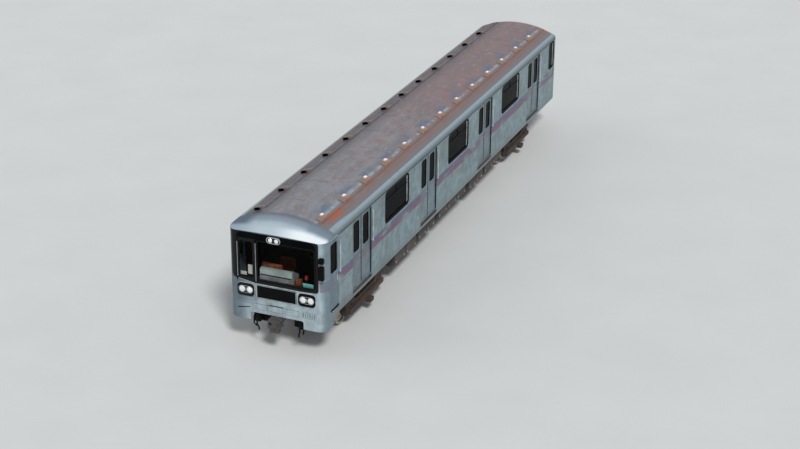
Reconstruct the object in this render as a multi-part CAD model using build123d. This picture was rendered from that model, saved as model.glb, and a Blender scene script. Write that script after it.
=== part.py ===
from build123d import *
import os
from math import asin, cos, degrees, radians, sin, sqrt

os.makedirs("parts", exist_ok=True)

# Metro driving car. Millimetres, +X to the cab end, +Y to the car's left, +Z up.
# Heights are measured from the rail head. Finished pieces are lifted by the wheel flange's depth.

# Car body
BODY_HALF_LENGTH = 9385
BODY_HALF_WIDTH = 1350
SOLE_Z = 1000
SILL_DEPTH = 200
DOORWAY_HEIGHT = 1905
CANTRAIL_HEIGHT = 60
ROOF_RISE = 385
FLOOR_THICKNESS = 60
EAVE_RADIUS = 100
ROOF_THICKNESS = 40
CORNER_RADIUS = 250
END_WALL = 45
DOME_LENGTH = 650
DOME_LIP = 30
DOME_CHEEK = 450
DOME_ROOF = 215
DOME_NOSE = 190
DOME_TURNS = (0, 0.35, 0.6, 0.8, 0.92, 1)
COVE_SPLIT_Y = 700
SEAM = 0.3

FLOOR_Z = SOLE_Z + SILL_DEPTH
HEAD_Z = FLOOR_Z + DOORWAY_HEIGHT
SPRING_Z = HEAD_Z + CANTRAIL_HEIGHT
ROOF_TOP_Z = SPRING_Z + ROOF_RISE
REAR_X = -BODY_HALF_LENGTH
REAR_INNER_X = REAR_X + END_WALL
FRONT_X = BODY_HALF_LENGTH
FRONT_INNER_X = FRONT_X - END_WALL

# Side wall with the door pocket inside it
SIDE_WALL = 100
OUTER_SKIN = 28
INNER_LINING = 24
FRONT_POST_LENGTH = 285
SIDE_FRONT_X = BODY_HALF_LENGTH - FRONT_POST_LENGTH
SIDE_INNER_Y = BODY_HALF_WIDTH - SIDE_WALL
POCKET_OUTER_Y = BODY_HALF_WIDTH - OUTER_SKIN
POCKET_INNER_Y = SIDE_INNER_Y + INNER_LINING

# Passenger doors
DOOR_COUNT = 4
DOOR_END_DISTANCE = 2305
DOOR_PITCH = 2 * (BODY_HALF_LENGTH - DOOR_END_DISTANCE) / (DOOR_COUNT - 1)
DOOR_OPENING = 1210
LEAF_THICKNESS = 32
LEAF_OVERLAP = 25
LEAF_MEETING_GAP = 5
LEAF_TRAVEL = DOOR_OPENING / 2 - 15
POCKET_END_CLEARANCE = 15
LEAF_WINDOW_WIDTH = DOOR_OPENING / 2 - 275
LEAF_WINDOW_SILL_Z = FLOOR_Z + 1000
LEAF_WINDOW_TOP_Z = HEAD_Z - 115
LEAF_WINDOW_RADIUS = 60
HANGER_INSET = 120
ROLLER_RADIUS = 12
ROLLER_WIDTH = 14
RUNNING_GAP = 0.3
GROOVE_WIDTH = 22
GROOVE_DEPTH = 17
SHOE_THICKNESS = 12
DOOR_CLEARANCE = 6
LEAF_Y = (POCKET_OUTER_Y + POCKET_INNER_Y) / 2
LEAF_CLOSED_END = DOOR_OPENING / 2 + LEAF_OVERLAP
POCKET_REACH = LEAF_CLOSED_END + LEAF_TRAVEL + POCKET_END_CLEARANCE

# Windows
WINDOW_PILLAR = 325
WINDOW_LENGTH = DOOR_PITCH - 2 * (POCKET_REACH + WINDOW_PILLAR)
WINDOW_SILL_Z = FLOOR_Z + 1030
WINDOW_TOP_Z = HEAD_Z - 35
WINDOW_RADIUS = 90
END_WINDOW_LENGTH = 480
END_WINDOW_X = REAR_X + 395
GLASS_THICKNESS = 6
GLASS_INSET = 30

# Front end
MASK_HALF_WIDTH = BODY_HALF_WIDTH - 258
MASK_BOTTOM_Z = FLOOR_Z + 660
MASK_TOP_Z = SPRING_Z - 17
MASK_RADIUS = 150
APRON_TOP_Z = SOLE_Z + 290
APRON_BOTTOM_Z = SOLE_Z - 260
APRON_LENGTH = 585
APRON_BACK_X = FRONT_X - APRON_LENGTH
APRON_SLOPE = 140
NOTCH_HALF_WIDTH = BODY_HALF_WIDTH - 610
NOTCH_TOP_Z = SOLE_Z - 37
NOTCH_RADIUS = 60
SCREEN_Y = (572 - MASK_HALF_WIDTH, MASK_HALF_WIDTH - 42)
SCREEN_Z = (MASK_BOTTOM_Z + 45, MASK_TOP_Z - 198)
SCREEN_RADIUS = 60
LAMP_Y = MASK_HALF_WIDTH - 242
LAMP_Z = FLOOR_Z + 380
LAMP_WIDTH = 470
LAMP_HEIGHT = 345
LAMP_RADIUS = 95
LAMP_DEPTH = 28
LAMP_RECESS = 16
HEADLAMP_RADIUS = 88
HEADLAMP_OFFSET = 104
TOP_LAMP_RADIUS = 62
TOP_LAMP_OFFSET = 84
TOP_LAMP_Y = -50
TOP_LAMP_Z = MASK_TOP_Z - 98
TOP_LAMP_WIDTH = 380
TOP_LAMP_HEIGHT = 170
PANEL_HALF_WIDTH = MASK_HALF_WIDTH - 542
PANEL_Z = (FLOOR_Z + 200, FLOOR_Z + 555)
PANEL_DEPTH = 14
PANEL_RADIUS = 20
MIRROR_Y = (BODY_HALF_WIDTH - 150, BODY_HALF_WIDTH - 5)
MIRROR_X = (FRONT_X + 15, FRONT_X + 85)
MIRRORS_Z = ((FLOOR_Z + 1020, FLOOR_Z + 1400), (FLOOR_Z + 1470, FLOOR_Z + 1620))
MIRROR_RADIUS = 35
MIRROR_ARM = 24
EMERGENCY_DOOR_Y = (4 - MASK_HALF_WIDTH, 507 - MASK_HALF_WIDTH)
EMERGENCY_DOOR_TOP_Z = MASK_TOP_Z - 158
EMERGENCY_WINDOW_Y = (EMERGENCY_DOOR_Y[0] + 58, EMERGENCY_DOOR_Y[1] - 65)
EMERGENCY_WINDOW_Z = (MASK_BOTTOM_Z + 70, EMERGENCY_DOOR_TOP_Z - 90)

# Hinged doors
HINGED_LEAF = 36
HINGED_GAP = 8
HINGED_REST_GAP = 2
HINGE_RADIUS = 11
HINGE_PIN_RADIUS = 5
HINGE_KNUCKLE = 60
HINGE_STAND = 12
HINGE_STRAP = 30
HINGE_PLATE = 5
PIN_CLEARANCE = 0.05
CAB_HINGES_Z = (FLOOR_Z + 300, FLOOR_Z + 950, HEAD_Z - 305)
END_HINGES_Z = (FLOOR_Z + 250, FLOOR_Z + 950, HEAD_Z - 255)
EMERGENCY_HINGES_Z = (MASK_BOTTOM_Z - 10, EMERGENCY_DOOR_TOP_Z - 90)
CAB_DOOR_LENGTH = 510
CAB_DOOR_X = (SIDE_FRONT_X - CAB_DOOR_LENGTH, SIDE_FRONT_X)
HINGED_HEAD_Z = HEAD_Z - 25
CAB_WINDOW_Z = (FLOOR_Z + 1040, HINGED_HEAD_Z - 80)
CAB_WINDOW_MARGIN = 75
HINGED_WINDOW_RADIUS = 45
HINGED_WINDOW_HEAD = 118
END_DOOR_HALF_WIDTH = 330
END_DOOR_WINDOW = (400, 950)
CAB_LENGTH = 1595
BULKHEAD_X = FRONT_X - CAB_LENGTH
BULKHEAD_THICKNESS = 40
BULKHEAD_DOOR_HALF_WIDTH = 310
BULKHEAD_DOOR_WINDOW = (360, 1050)

# Roof vents
VENT_COUNT = 13
VENT_FIRST_X = FRONT_X - 875
VENT_LAST_X = REAR_X + 1455
VENT_PITCH = (VENT_FIRST_X - VENT_LAST_X) / (VENT_COUNT - 1)
VENT_Y = 840
VENT_LENGTH = 300
VENT_WIDTH = 190
VENT_HEIGHT = 90
VENT_TAIL = 30
VENT_SWELL = 18
VENT_WALL = 10
VENT_CORNER = 25
VENT_MOUTH = 190
RIDGE_WIDTH = 230
RIDGE_HEIGHT = 16

# Bogies
BOGIE_X = BODY_HALF_LENGTH - 3085
WHEELBASE = 2100
WHEEL_RADIUS = 390
FLANGE_DEPTH = 28
WHEEL_BACK_Y = 720
WHEEL_WIDTH = 130
AXLE_RADIUS = 80
JOURNAL_RADIUS = 65
JOURNAL_END_Y = 1075
RUNNING_FIT = 0.05
BEAM_Y = 1010
BEAM_WIDTH = 130
BEAM_END_Z = (WHEEL_RADIUS + 150, WHEEL_RADIUS + 300)
BEAM_MID_Z = (WHEEL_RADIUS, WHEEL_RADIUS + 170)
TRANSOM_X = WHEELBASE / 2 - 820
TRANSOM_WIDTH = 130
BOLSTER_Z = (SOLE_Z - 340, SOLE_Z - 120)
BOLSTER_WIDTH = 300
BOLSTER_HALF_LENGTH = BEAM_Y + 75
BOLSTER_END = 80
SPRING_X = 85
SPRING_RADIUS = 78
PIVOT_RADIUS = 60
PIVOT_DEPTH = 150
SIDE_BEARER_Y = 900
SIDE_BEARER_SIZE = 180
BODY_BOLSTER_Z = SOLE_Z - 60
BODY_BOLSTER_WIDTH = 400
AXLEBOX_SIZE = 240
AXLEBOX_CHAMFER = 35
MOTOR_X = WHEELBASE / 2 - 500
MOTOR_RADIUS = 225
MOTOR_Z = WHEEL_RADIUS + 50
MOTOR_HALF_LENGTH = 330
GEARCASE_WIDTH = 150
GEARCASE_RADIUS = 270
PINION_CASE_RADIUS = 150
BRAKE_SHOE_THICKNESS = 54
BRAKE_SHOE_GAP = 6
BRAKE_SHOE_Y = (WHEEL_BACK_Y + 40, WHEEL_BACK_Y + 115)
COLLECTOR_BEAM = (60, 120)
COLLECTOR_REACH = 200

# Couplers
COUPLER_STAND_OUT = 220
COUPLER_LENGTH = 1005
COUPLER_REACH = BODY_HALF_LENGTH + COUPLER_STAND_OUT
COUPLER_PIVOT_X = COUPLER_REACH - COUPLER_LENGTH
COUPLER_Z = SOLE_Z - 175
COUPLER_PIN_RADIUS = 30
COUPLER_EYE_RADIUS = 55
COUPLER_SHANK = 90
COUPLER_HEAD_LENGTH = 220
COUPLER_HEAD_HALF_WIDTH = 170
COUPLER_HEAD_HALF_HEIGHT = 125
COUPLER_CONE_RADIUS = 42
COUPLER_SOCKET_RADIUS = 43
COUPLER_CONE_Y = 95
COUPLER_CONE_LENGTH = 90
COUPLER_SOCKET_DEPTH = 110
CENTRE_SILL_Y = 260
CENTRE_SILL_SIZE = (100, 160)
CROSS_BEARERS_X = (-3900, -1300, 1300, 3900)

# Saloon and cab fittings
BENCH_DEPTH = 450
BENCH_HEIGHT = 440
BENCH_BACK_HEIGHT = 930
BENCH_END_GAP = 180
POLE_RADIUS = 16
POLE_INSET = 30
TOP_RAIL_HEIGHT = 1850
CEILING_Z = SPRING_Z + 125
CEILING_HALF_WIDTH = 800
CEILING_EDGE_Z = SPRING_Z - 35
CEILING_THICKNESS = 15
DESK_FRONT_X = FRONT_INNER_X - 5
DESK_Y = (-480, 420)
SHELF_Y = SIDE_INNER_Y - CORNER_RADIUS
SEAT_X = FRONT_X - 825
SEAT_Y = -200
SEAT_HEIGHT = 400
SEAT_HALF_WIDTH = 230

# Gutters and outside handrails
GUTTER_Z = (SPRING_Z - 35, SPRING_Z - 17)
GUTTER_WIDTH = 12
HANDRAIL_Z = (FLOOR_Z + 900, HEAD_Z - 125)
HANDRAIL_RADIUS = 11
HANDRAIL_STAND = 30
HANDRAIL_FOOT_RADIUS = 9
HANDRAIL_FOOT_INSET = 30

DOOR_CENTRES = [(i - (DOOR_COUNT - 1) / 2) * DOOR_PITCH for i in range(DOOR_COUNT)]
WINDOW_CENTRES = [(DOOR_CENTRES[i] + DOOR_CENTRES[i + 1]) / 2 for i in range(DOOR_COUNT - 1)]


def export(name, shape):
    """Write one node, lifted so that the wheel flanges stand on the ground plane."""
    export_step(Pos(0, 0, FLANGE_DEPTH) * shape, f"parts/{name}.step")


def block(x, y, z):
    """Box between pairs of coordinates."""
    size = [b - a for a, b in (x, y, z)]
    middle = [(a + b) / 2 for a, b in (x, y, z)]
    return Pos(*middle) * Box(*size)


def side_window(x, z, radius, y):
    """Round-cornered block that runs across the car between two Y values."""
    plane = Plane(origin=((x[0] + x[1]) / 2, y[0], (z[0] + z[1]) / 2), x_dir=(1, 0, 0), z_dir=(0, 1, 0))
    return extrude(plane * RectangleRounded(x[1] - x[0], z[1] - z[0], radius), amount=y[1] - y[0])


def end_window(y, z, radius, x):
    """Round-cornered block that runs along the car between two X values."""
    plane = Plane(origin=(x[0], (y[0] + y[1]) / 2, (z[0] + z[1]) / 2), x_dir=(0, 1, 0), z_dir=(1, 0, 0))
    return extrude(plane * RectangleRounded(y[1] - y[0], z[1] - z[0], radius), amount=x[1] - x[0])


def across(x, z, radius, y):
    """Cylinder with its axis across the car."""
    plane = Plane(origin=(x, y[0], z), x_dir=(1, 0, 0), z_dir=(0, 1, 0))
    return extrude(plane * Circle(radius), amount=y[1] - y[0])


def along(y, z, radius, x):
    """Cylinder with its axis along the car."""
    return extrude(Plane(origin=(x[0], y, z), z_dir=(1, 0, 0)) * Circle(radius), amount=x[1] - x[0])


def upright(x, y, radius, z):
    """Cylinder with a vertical axis."""
    return extrude(Pos(x, y, z[0]) * Circle(radius), amount=z[1] - z[0])


def side_profile(points, y):
    """Polygon in the side view, as thick as the Y range."""
    face = make_face(Plane.XZ * Polyline(*points, close=True))
    return Pos(0, y[0], 0) * extrude(face, amount=y[1] - y[0], dir=(0, 1, 0))


def cross_profile(points, x):
    """Polygon in the cross-section, as long as the X range."""
    face = make_face(Plane.YZ * Polyline(*points, close=True))
    return Pos(x[0], 0, 0) * extrude(face, amount=x[1] - x[0], dir=(1, 0, 0))


def both_sides(shape):
    """The piece and its mirror image on the car's other side."""
    return [shape, mirrored(shape)]


def hinge_halves(heights):
    """Fixed and moving halves of the hinges on one door, about the Z axis.

    The leaf lies towards -Y and opens towards +X, and the wall lies towards +Y.
    """
    half = HINGE_KNUCKLE / 2
    fixed, moving = [], []
    for z in heights:
        bore = upright(0, 0, HINGE_PIN_RADIUS + PIN_CLEARANCE, (z - half - 1, z + half + 1))
        strap = block((-HINGE_STAND - 4, -HINGE_PLATE), (-HINGE_STRAP, 0), (z - half, z + half))
        moving.append(upright(0, 0, HINGE_RADIUS, (z - half, z + half)) + strap - bore)
        frame = upright(0, 0, HINGE_PIN_RADIUS, (z - 2 * half, z + 2 * half))
        for low, high in ((z - 2 * half, z - half - SEAM), (z + half + SEAM, z + 2 * half)):
            frame = frame + upright(0, 0, HINGE_RADIUS, (low, high))
            frame = frame + block((-HINGE_STAND, -HINGE_PLATE), (0, HINGE_STRAP), (low, high))
        fixed.append(frame)
    return fixed, moving


def joined(base, place, halves):
    """Base piece with hinge halves fused on at a place."""
    for half in halves:
        base = base + place * half
    return base


def mirrored(shape):
    """Mirror image across the car."""
    return mirror(shape, Plane.XZ)


# Roof shapes
EAVE_Y = BODY_HALF_WIDTH - EAVE_RADIUS
CROWN_RADIUS = (EAVE_Y**2 + ROOF_RISE**2 - EAVE_RADIUS**2) / (2 * (ROOF_RISE - EAVE_RADIUS))
CROWN_Z = ROOF_TOP_Z - CROWN_RADIUS
NOSE_DROP = ROOF_RISE - DOME_LIP
NOSE_RADIUS = (DOME_LENGTH**2 + NOSE_DROP**2) / (2 * NOSE_DROP)
DOME_START_X = FRONT_X - DOME_LENGTH


def roof_height(y):
    """Height of the roof's outer surface on the crown."""
    return CROWN_Z + sqrt(CROWN_RADIUS**2 - y**2)


def arch_outline(half, rise, eave):
    """Closed outline over the springing line: eave arc, crown arc, eave arc."""
    eave_y = half - eave
    crown = (eave_y**2 + rise**2 - eave**2) / (2 * (rise - eave))
    centre_z = SPRING_Z + rise - crown
    lean = asin(eave_y / (crown - eave))
    middle = (radians(90) - lean) / 2
    mid_y, mid_z = eave_y + eave * cos(middle), SPRING_Z + eave * sin(middle)
    top_y, top_z = crown * sin(lean), centre_z + crown * cos(lean)
    return Curve() + [
        Line((-half, SPRING_Z), (half, SPRING_Z)),
        ThreePointArc((half, SPRING_Z), (mid_y, mid_z), (top_y, top_z)),
        ThreePointArc((top_y, top_z), (0, SPRING_Z + rise), (-top_y, top_z)),
        ThreePointArc((-top_y, top_z), (-mid_y, mid_z), (-half, SPRING_Z)),
    ]


def arch_solid(inset, x):
    """Space under the roof line, from the springing up."""
    edges = arch_outline(BODY_HALF_WIDTH - inset, ROOF_RISE - inset, EAVE_RADIUS - inset)
    return Pos(x[0], 0, 0) * extrude(make_face(Plane.YZ * edges), amount=x[1] - x[0], dir=(1, 0, 0))


def dome_section(turn):
    """Roof outline on the domed front, where the nose arc has turned down by some degrees."""
    x = DOME_START_X + NOSE_RADIUS * sin(radians(turn))
    rise = ROOF_RISE - NOSE_RADIUS * (1 - cos(radians(turn)))
    past_corner = max(0, x - (FRONT_X - CORNER_RADIUS))
    half = BODY_HALF_WIDTH - CORNER_RADIUS + sqrt(max(0, CORNER_RADIUS**2 - past_corner**2))
    eave = EAVE_RADIUS * rise / ROOF_RISE
    return Pos(x, 0, 0) * make_face(Plane.YZ * arch_outline(half, rise, eave))


def make_dome():
    """Domed front of the roof, lofted through arches that sink and narrow, hollow from below."""
    foot = degrees(asin(DOME_LENGTH / NOSE_RADIUS))
    dome = loft([dome_section(foot * share) for share in DOME_TURNS], ruled=True)
    top = ROOF_TOP_Z - DOME_ROOF
    nose_x = FRONT_X - DOME_NOSE
    knee_x = (DOME_START_X + nose_x) / 2
    hollow = [(DOME_START_X - 1, SPRING_Z - 1), (DOME_START_X - 1, top), (knee_x, top - DOME_LIP),
              (nose_x, SPRING_Z - 1)]
    half = BODY_HALF_WIDTH - DOME_CHEEK
    export("roof_dome", dome - side_profile(hollow, (-half, half)))


def plan_solid(inset, z):
    """Body outline seen from above, with rounded front corners."""
    back_x = APRON_BACK_X - 600
    length = FRONT_X - inset - back_x
    face = Pos(back_x + length / 2, 0) * Rectangle(length, 2 * (BODY_HALF_WIDTH - inset))
    face = fillet(face.vertices().group_by(Axis.X)[-1], CORNER_RADIUS - inset)
    return extrude(Pos(0, 0, z[0]) * face, amount=z[1] - z[0])


def plan_shell(z):
    """Front wall and corner posts as one rounded skin."""
    return plan_solid(0, z) - plan_solid(END_WALL, (z[0] - 1, z[1] + 1))


def roof_shell(x):
    """Roof skin between two X values."""
    return arch_solid(0, x) - arch_solid(ROOF_THICKNESS, (x[0] - 1, x[1] + 1))


def vent_ridge(half_width, height, x):
    """Flat-topped strip that lies along the roof's shoulder, square to the slope."""
    slope = degrees(asin(VENT_Y / CROWN_RADIUS))
    frame = Pos(0, VENT_Y, roof_height(VENT_Y)) * Rot(-slope, 0, 0)
    return frame * block(x, (-half_width, half_width), (-ROOF_THICKNESS / 2, height))


def make_roof():
    """Crown, and coves with their vent ridges."""
    x = (REAR_INNER_X, DOME_START_X)
    reach = BODY_HALF_WIDTH + 10
    z = (SPRING_Z - 10, ROOF_TOP_Z + 100)
    shell = roof_shell(x)
    crown = shell & block(x, (-COVE_SPLIT_Y, COVE_SPLIT_Y), z)
    ridge = vent_ridge(RIDGE_WIDTH / 2, RIDGE_HEIGHT, x)
    cove = (shell + ridge) & block(x, (COVE_SPLIT_Y, reach), z)
    export("roof_crown", crown)
    export("roof_coves", Compound(both_sides(cove)))


def vent_body(inset):
    """Hood that swells from its low tail to its tall mouth, shrunk on every side but the mouth's."""
    mouth_x, tail_x = -VENT_LENGTH / 2, VENT_LENGTH / 2 - inset
    foot = RIDGE_HEIGHT
    mouth_z, tail_z = foot + VENT_HEIGHT - inset, foot + VENT_TAIL - inset
    middle = ((mouth_x + tail_x) / 2, (mouth_z + tail_z) / 2 + VENT_SWELL)
    edges = Curve() + [
        Line((mouth_x, foot), (tail_x, foot)),
        Line((tail_x, foot), (tail_x, tail_z)),
        ThreePointArc((tail_x, tail_z), middle, (mouth_x, mouth_z)),
        Line((mouth_x, mouth_z), (mouth_x, foot)),
    ]
    body = extrude(make_face(Plane.XZ * edges), amount=VENT_WIDTH / 2 - inset, both=True)
    return fillet(body.edges().filter_by(GeomType.CIRCLE), VENT_CORNER - inset)


def make_vents():
    """Two rows of hooded ventilators on the ridges: the left row's mouths face back, the right row's ahead."""
    slope = degrees(asin(VENT_Y / CROWN_RADIUS))
    mouth_x = (-VENT_LENGTH / 2 - 1, -VENT_LENGTH / 2 + VENT_MOUTH)
    reach = (-VENT_WIDTH, VENT_WIDTH)
    cavity = vent_body(VENT_WALL) & block(mouth_x, reach, (RIDGE_HEIGHT, RIDGE_HEIGHT + VENT_HEIGHT))
    hood = Pos(0, VENT_Y, roof_height(VENT_Y)) * Rot(-slope, 0, 0) * (vent_body(0) - cavity)
    vents = []
    for i in range(VENT_COUNT):
        for turn in (0, 180):
            vents.append(Pos(VENT_FIRST_X - i * VENT_PITCH, 0, 0) * Rot(0, 0, turn) * hood)
    export("roof_vents", Compound(vents))


# Side walls
def pocket_ranges():
    """X ranges of the pockets on both sides of every passenger door."""
    near = DOOR_OPENING / 2
    ranges = []
    for centre in DOOR_CENTRES:
        ranges.append((centre + near - 1, centre + POCKET_REACH))
        ranges.append((centre - POCKET_REACH, centre - near + 1))
    return ranges


def make_side_panels(side):
    """Wall panels between the doors, double-skinned, with window openings and door pockets."""
    half = DOOR_OPENING / 2
    starts = [REAR_INNER_X] + [centre + half for centre in DOOR_CENTRES]
    ends = [centre - half for centre in DOOR_CENTRES] + [CAB_DOOR_X[0]]
    wall_y = (SIDE_INNER_Y, BODY_HALF_WIDTH)
    through_y = (SIDE_INNER_Y - 1, BODY_HALF_WIDTH + 1)
    window_z = (WINDOW_SILL_Z, WINDOW_TOP_Z)
    end_x = (END_WINDOW_X - END_WINDOW_LENGTH / 2, END_WINDOW_X + END_WINDOW_LENGTH / 2)
    openings = [(c - WINDOW_LENGTH / 2, c + WINDOW_LENGTH / 2) for c in WINDOW_CENTRES] + [end_x]
    panels = []
    for x0, x1 in zip(starts, ends):
        panel = block((x0, x1), wall_y, (FLOOR_Z, HEAD_Z))
        for pocket in pocket_ranges():
            if pocket[0] < x1 and pocket[1] > x0:
                panel = panel - block(pocket, (POCKET_INNER_Y, POCKET_OUTER_Y), (FLOOR_Z - 1, HEAD_Z + 1))
        for opening in openings:
            if opening[0] > x0 and opening[1] < x1:
                panel = panel - side_window(opening, window_z, WINDOW_RADIUS, through_y)
        panels.append(panel if side > 0 else mirrored(panel))
    export("side_panels_left" if side > 0 else "side_panels_right", Compound(panels))


RAIL_TOP_Z = HEAD_Z + 20
LEAF_TOP_Z = HEAD_Z + 7
LEAF_BOTTOM_Z = FLOOR_Z + DOOR_CLEARANCE
ROLLER_Z = RAIL_TOP_Z + RUNNING_GAP + ROLLER_RADIUS
ROLLER_Y = (POCKET_INNER_Y + 1, POCKET_INNER_Y + 1 + ROLLER_WIDTH)


def make_body_rails():
    """Side sills with the threshold groove, and cantrails with the overhead door rail."""
    x = (REAR_INNER_X, CAB_DOOR_X[0])
    sill_x = (REAR_INNER_X, SIDE_FRONT_X)
    sill = block(sill_x, (SIDE_INNER_Y, BODY_HALF_WIDTH), (SOLE_Z, FLOOR_Z))
    groove_y = (LEAF_Y - GROOVE_WIDTH / 2, LEAF_Y + GROOVE_WIDTH / 2)
    sill = sill - block((REAR_INNER_X - 1, CAB_DOOR_X[0]), groove_y, (FLOOR_Z - GROOVE_DEPTH, FLOOR_Z + 1))
    cantrail = block(sill_x, (SIDE_INNER_Y, BODY_HALF_WIDTH), (HEAD_Z, SPRING_Z))
    channel_y = (POCKET_INNER_Y, POCKET_OUTER_Y)
    cantrail = cantrail - block((x[0] - 1, x[1]), channel_y, (HEAD_Z - 1, SPRING_Z - 12))
    rail_y = (POCKET_INNER_Y, ROLLER_Y[1])
    cantrail = cantrail + block(x, rail_y, (HEAD_Z + 12, RAIL_TOP_Z))
    export("body_rails", Compound(both_sides(sill) + both_sides(cantrail)))


def door_leaf(direction):
    """One sliding leaf about its door's centre, with hangers, rollers, guide shoe and window."""
    x0, x1 = LEAF_MEETING_GAP / 2, LEAF_CLOSED_END
    y = (LEAF_Y - LEAF_THICKNESS / 2, LEAF_Y + LEAF_THICKNESS / 2)
    leaf = block((x0, x1), y, (LEAF_BOTTOM_Z, LEAF_TOP_Z))
    middle = DOOR_OPENING / 4
    window_x = (middle - LEAF_WINDOW_WIDTH / 2, middle + LEAF_WINDOW_WIDTH / 2)
    window_z = (LEAF_WINDOW_SILL_Z, LEAF_WINDOW_TOP_Z)
    leaf = leaf - side_window(window_x, window_z, LEAF_WINDOW_RADIUS, (y[0] - 1, y[1] + 1))
    arm_y = (ROLLER_Y[1], ROLLER_Y[1] + 8)
    for x in (x0 + HANGER_INSET, x1 - HANGER_INSET):
        leaf = leaf + block((x - 25, x + 25), arm_y, (LEAF_TOP_Z - 5, ROLLER_Z + 5))
        leaf = leaf + across(x, ROLLER_Z, ROLLER_RADIUS, (ROLLER_Y[0], arm_y[0] + 1))
    shoe_y = (LEAF_Y - SHOE_THICKNESS / 2, LEAF_Y + SHOE_THICKNESS / 2)
    shoe_z = (FLOOR_Z - GROOVE_DEPTH + DOOR_CLEARANCE, LEAF_BOTTOM_Z + 1)
    leaf = leaf + block((x0 + HANGER_INSET, x1 - HANGER_INSET), shoe_y, shoe_z)
    return leaf if direction > 0 else mirror(leaf, Plane.YZ)


def make_door_leaves():
    """Two leaves to each passenger door, numbered from the cab."""
    for number, centre in enumerate(reversed(DOOR_CENTRES), start=1):
        for direction, place in ((1, "front"), (-1, "rear")):
            leaf = Pos(centre, 0, 0) * door_leaf(direction)
            export(f"door_left_{number}_{place}", leaf)
            export(f"door_right_{number}_{place}", mirrored(leaf))


# Floor, underframe and what hangs below it
BEAM_TOP_Z = FLOOR_Z - FLOOR_THICKNESS


def coupler_anchor():
    """Jaw with a vertical pin that carries one coupler."""
    x = COUPLER_PIVOT_X
    jaw = block((x - 160, x + 50), (-70, 70), (COUPLER_Z - 85, BEAM_TOP_Z))
    jaw = jaw - block((x - 70, x + 60), (-80, 80), (COUPLER_Z - 60, COUPLER_Z + 60))
    return jaw + upright(x, 0, COUPLER_PIN_RADIUS, (COUPLER_Z - 61, COUPLER_Z + 61))


def body_bolster():
    """Cross beam over one bogie, with the centre pin below it."""
    half = BODY_BOLSTER_WIDTH / 2
    pad_half = SIDE_BEARER_SIZE / 2
    beam_z = (BODY_BOLSTER_Z, BEAM_TOP_Z)
    beam = block((BOGIE_X - half, BOGIE_X + half), (-SIDE_INNER_Y, SIDE_INNER_Y), beam_z)
    for y in (-SIDE_BEARER_Y, SIDE_BEARER_Y):
        pad_z = (BOLSTER_Z[1] + SEAM, BODY_BOLSTER_Z + 1)
        beam = beam + block((BOGIE_X - pad_half, BOGIE_X + pad_half), (y - pad_half, y + pad_half), pad_z)
    pin = upright(BOGIE_X, 0, PIVOT_RADIUS, (BOLSTER_Z[1] - PIVOT_DEPTH + 10, BODY_BOLSTER_Z + 1))
    return beam + pin


def make_underframe():
    """Floor plate, end centre sills, bolsters and cross bearers."""
    floor_x = (REAR_INNER_X, FRONT_X - CORNER_RADIUS)
    floor = block(floor_x, (-SIDE_INNER_Y, SIDE_INNER_Y), (BEAM_TOP_Z, FLOOR_Z))
    nose_y = SIDE_INNER_Y - CORNER_RADIUS
    floor = floor + block((floor_x[1] - 1, FRONT_INNER_X), (-nose_y, nose_y), (BEAM_TOP_Z, FLOOR_Z))
    export("floor", floor)
    beams = []
    for turn in (0, 180):
        spin = Rot(0, 0, turn)
        beams.append(spin * body_bolster())
        beams.append(spin * coupler_anchor())
        for y in (-CENTRE_SILL_Y, CENTRE_SILL_Y):
            sill_x = (BOGIE_X + BODY_BOLSTER_WIDTH / 2, FRONT_INNER_X - 100)
            sill_y = (y - CENTRE_SILL_SIZE[0] / 2, y + CENTRE_SILL_SIZE[0] / 2)
            beams.append(spin * block(sill_x, sill_y, (BEAM_TOP_Z - CENTRE_SILL_SIZE[1], BEAM_TOP_Z)))
    for x in CROSS_BEARERS_X:
        beams.append(block((x - 40, x + 40), (-SIDE_INNER_Y, SIDE_INNER_Y), (BEAM_TOP_Z - 80, BEAM_TOP_Z)))
    export("underframe_beams", Compound(beams))


# Underfloor cases: X range in the space between the bogies, inner Y, depth below the sole; side by side
EQUIPMENT_HALF_SPACE = BOGIE_X - WHEELBASE / 2 - 750
EQUIPMENT_OUTER_Y = SIDE_INNER_Y - 70
LEFT_CASES = [
    (0.64, 1.00, 560, 530),
    (0.32, 0.61, 620, 480),
    (-0.26, 0.26, 640, 440),
    (-0.60, -0.32, 560, 520),
    (-0.99, -0.63, 640, 480),
]
RIGHT_CASES = [
    (0.62, 0.98, 600, 480),
    (0.04, 0.26, 640, 530),
    (-0.26, -0.02, 600, 460),
    (-0.61, -0.32, 560, 530),
    (-1.00, -0.66, 640, 480),
]
# Air tanks: X range, Y, depth below the sole, radius
TANKS = [
    (0.32, 0.59, -900, 300, 170),
    (-0.13, 0.20, 0, 180, 150),
    (-0.58, -0.22, 0, 180, 150),
]
CASE_TOP_Z = BEAM_TOP_Z - 120
CASE_CHAMFER = 30
STRAP_INSET = 150


def equipment_case(start, end, inner_y, depth):
    """Chamfered case that hangs from the floor on two straps, on the car's left."""
    x = (start * EQUIPMENT_HALF_SPACE, end * EQUIPMENT_HALF_SPACE)
    y = (inner_y, EQUIPMENT_OUTER_Y)
    case = block(x, y, (SOLE_Z - depth, CASE_TOP_Z))
    case = chamfer(case.edges().filter_by(Axis.X).group_by(Axis.Z)[0], CASE_CHAMFER)
    for strap in (x[0] + STRAP_INSET, x[1] - STRAP_INSET):
        case = case + block((strap - 25, strap + 25), y, (CASE_TOP_Z - 1, BEAM_TOP_Z))
    return case


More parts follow.
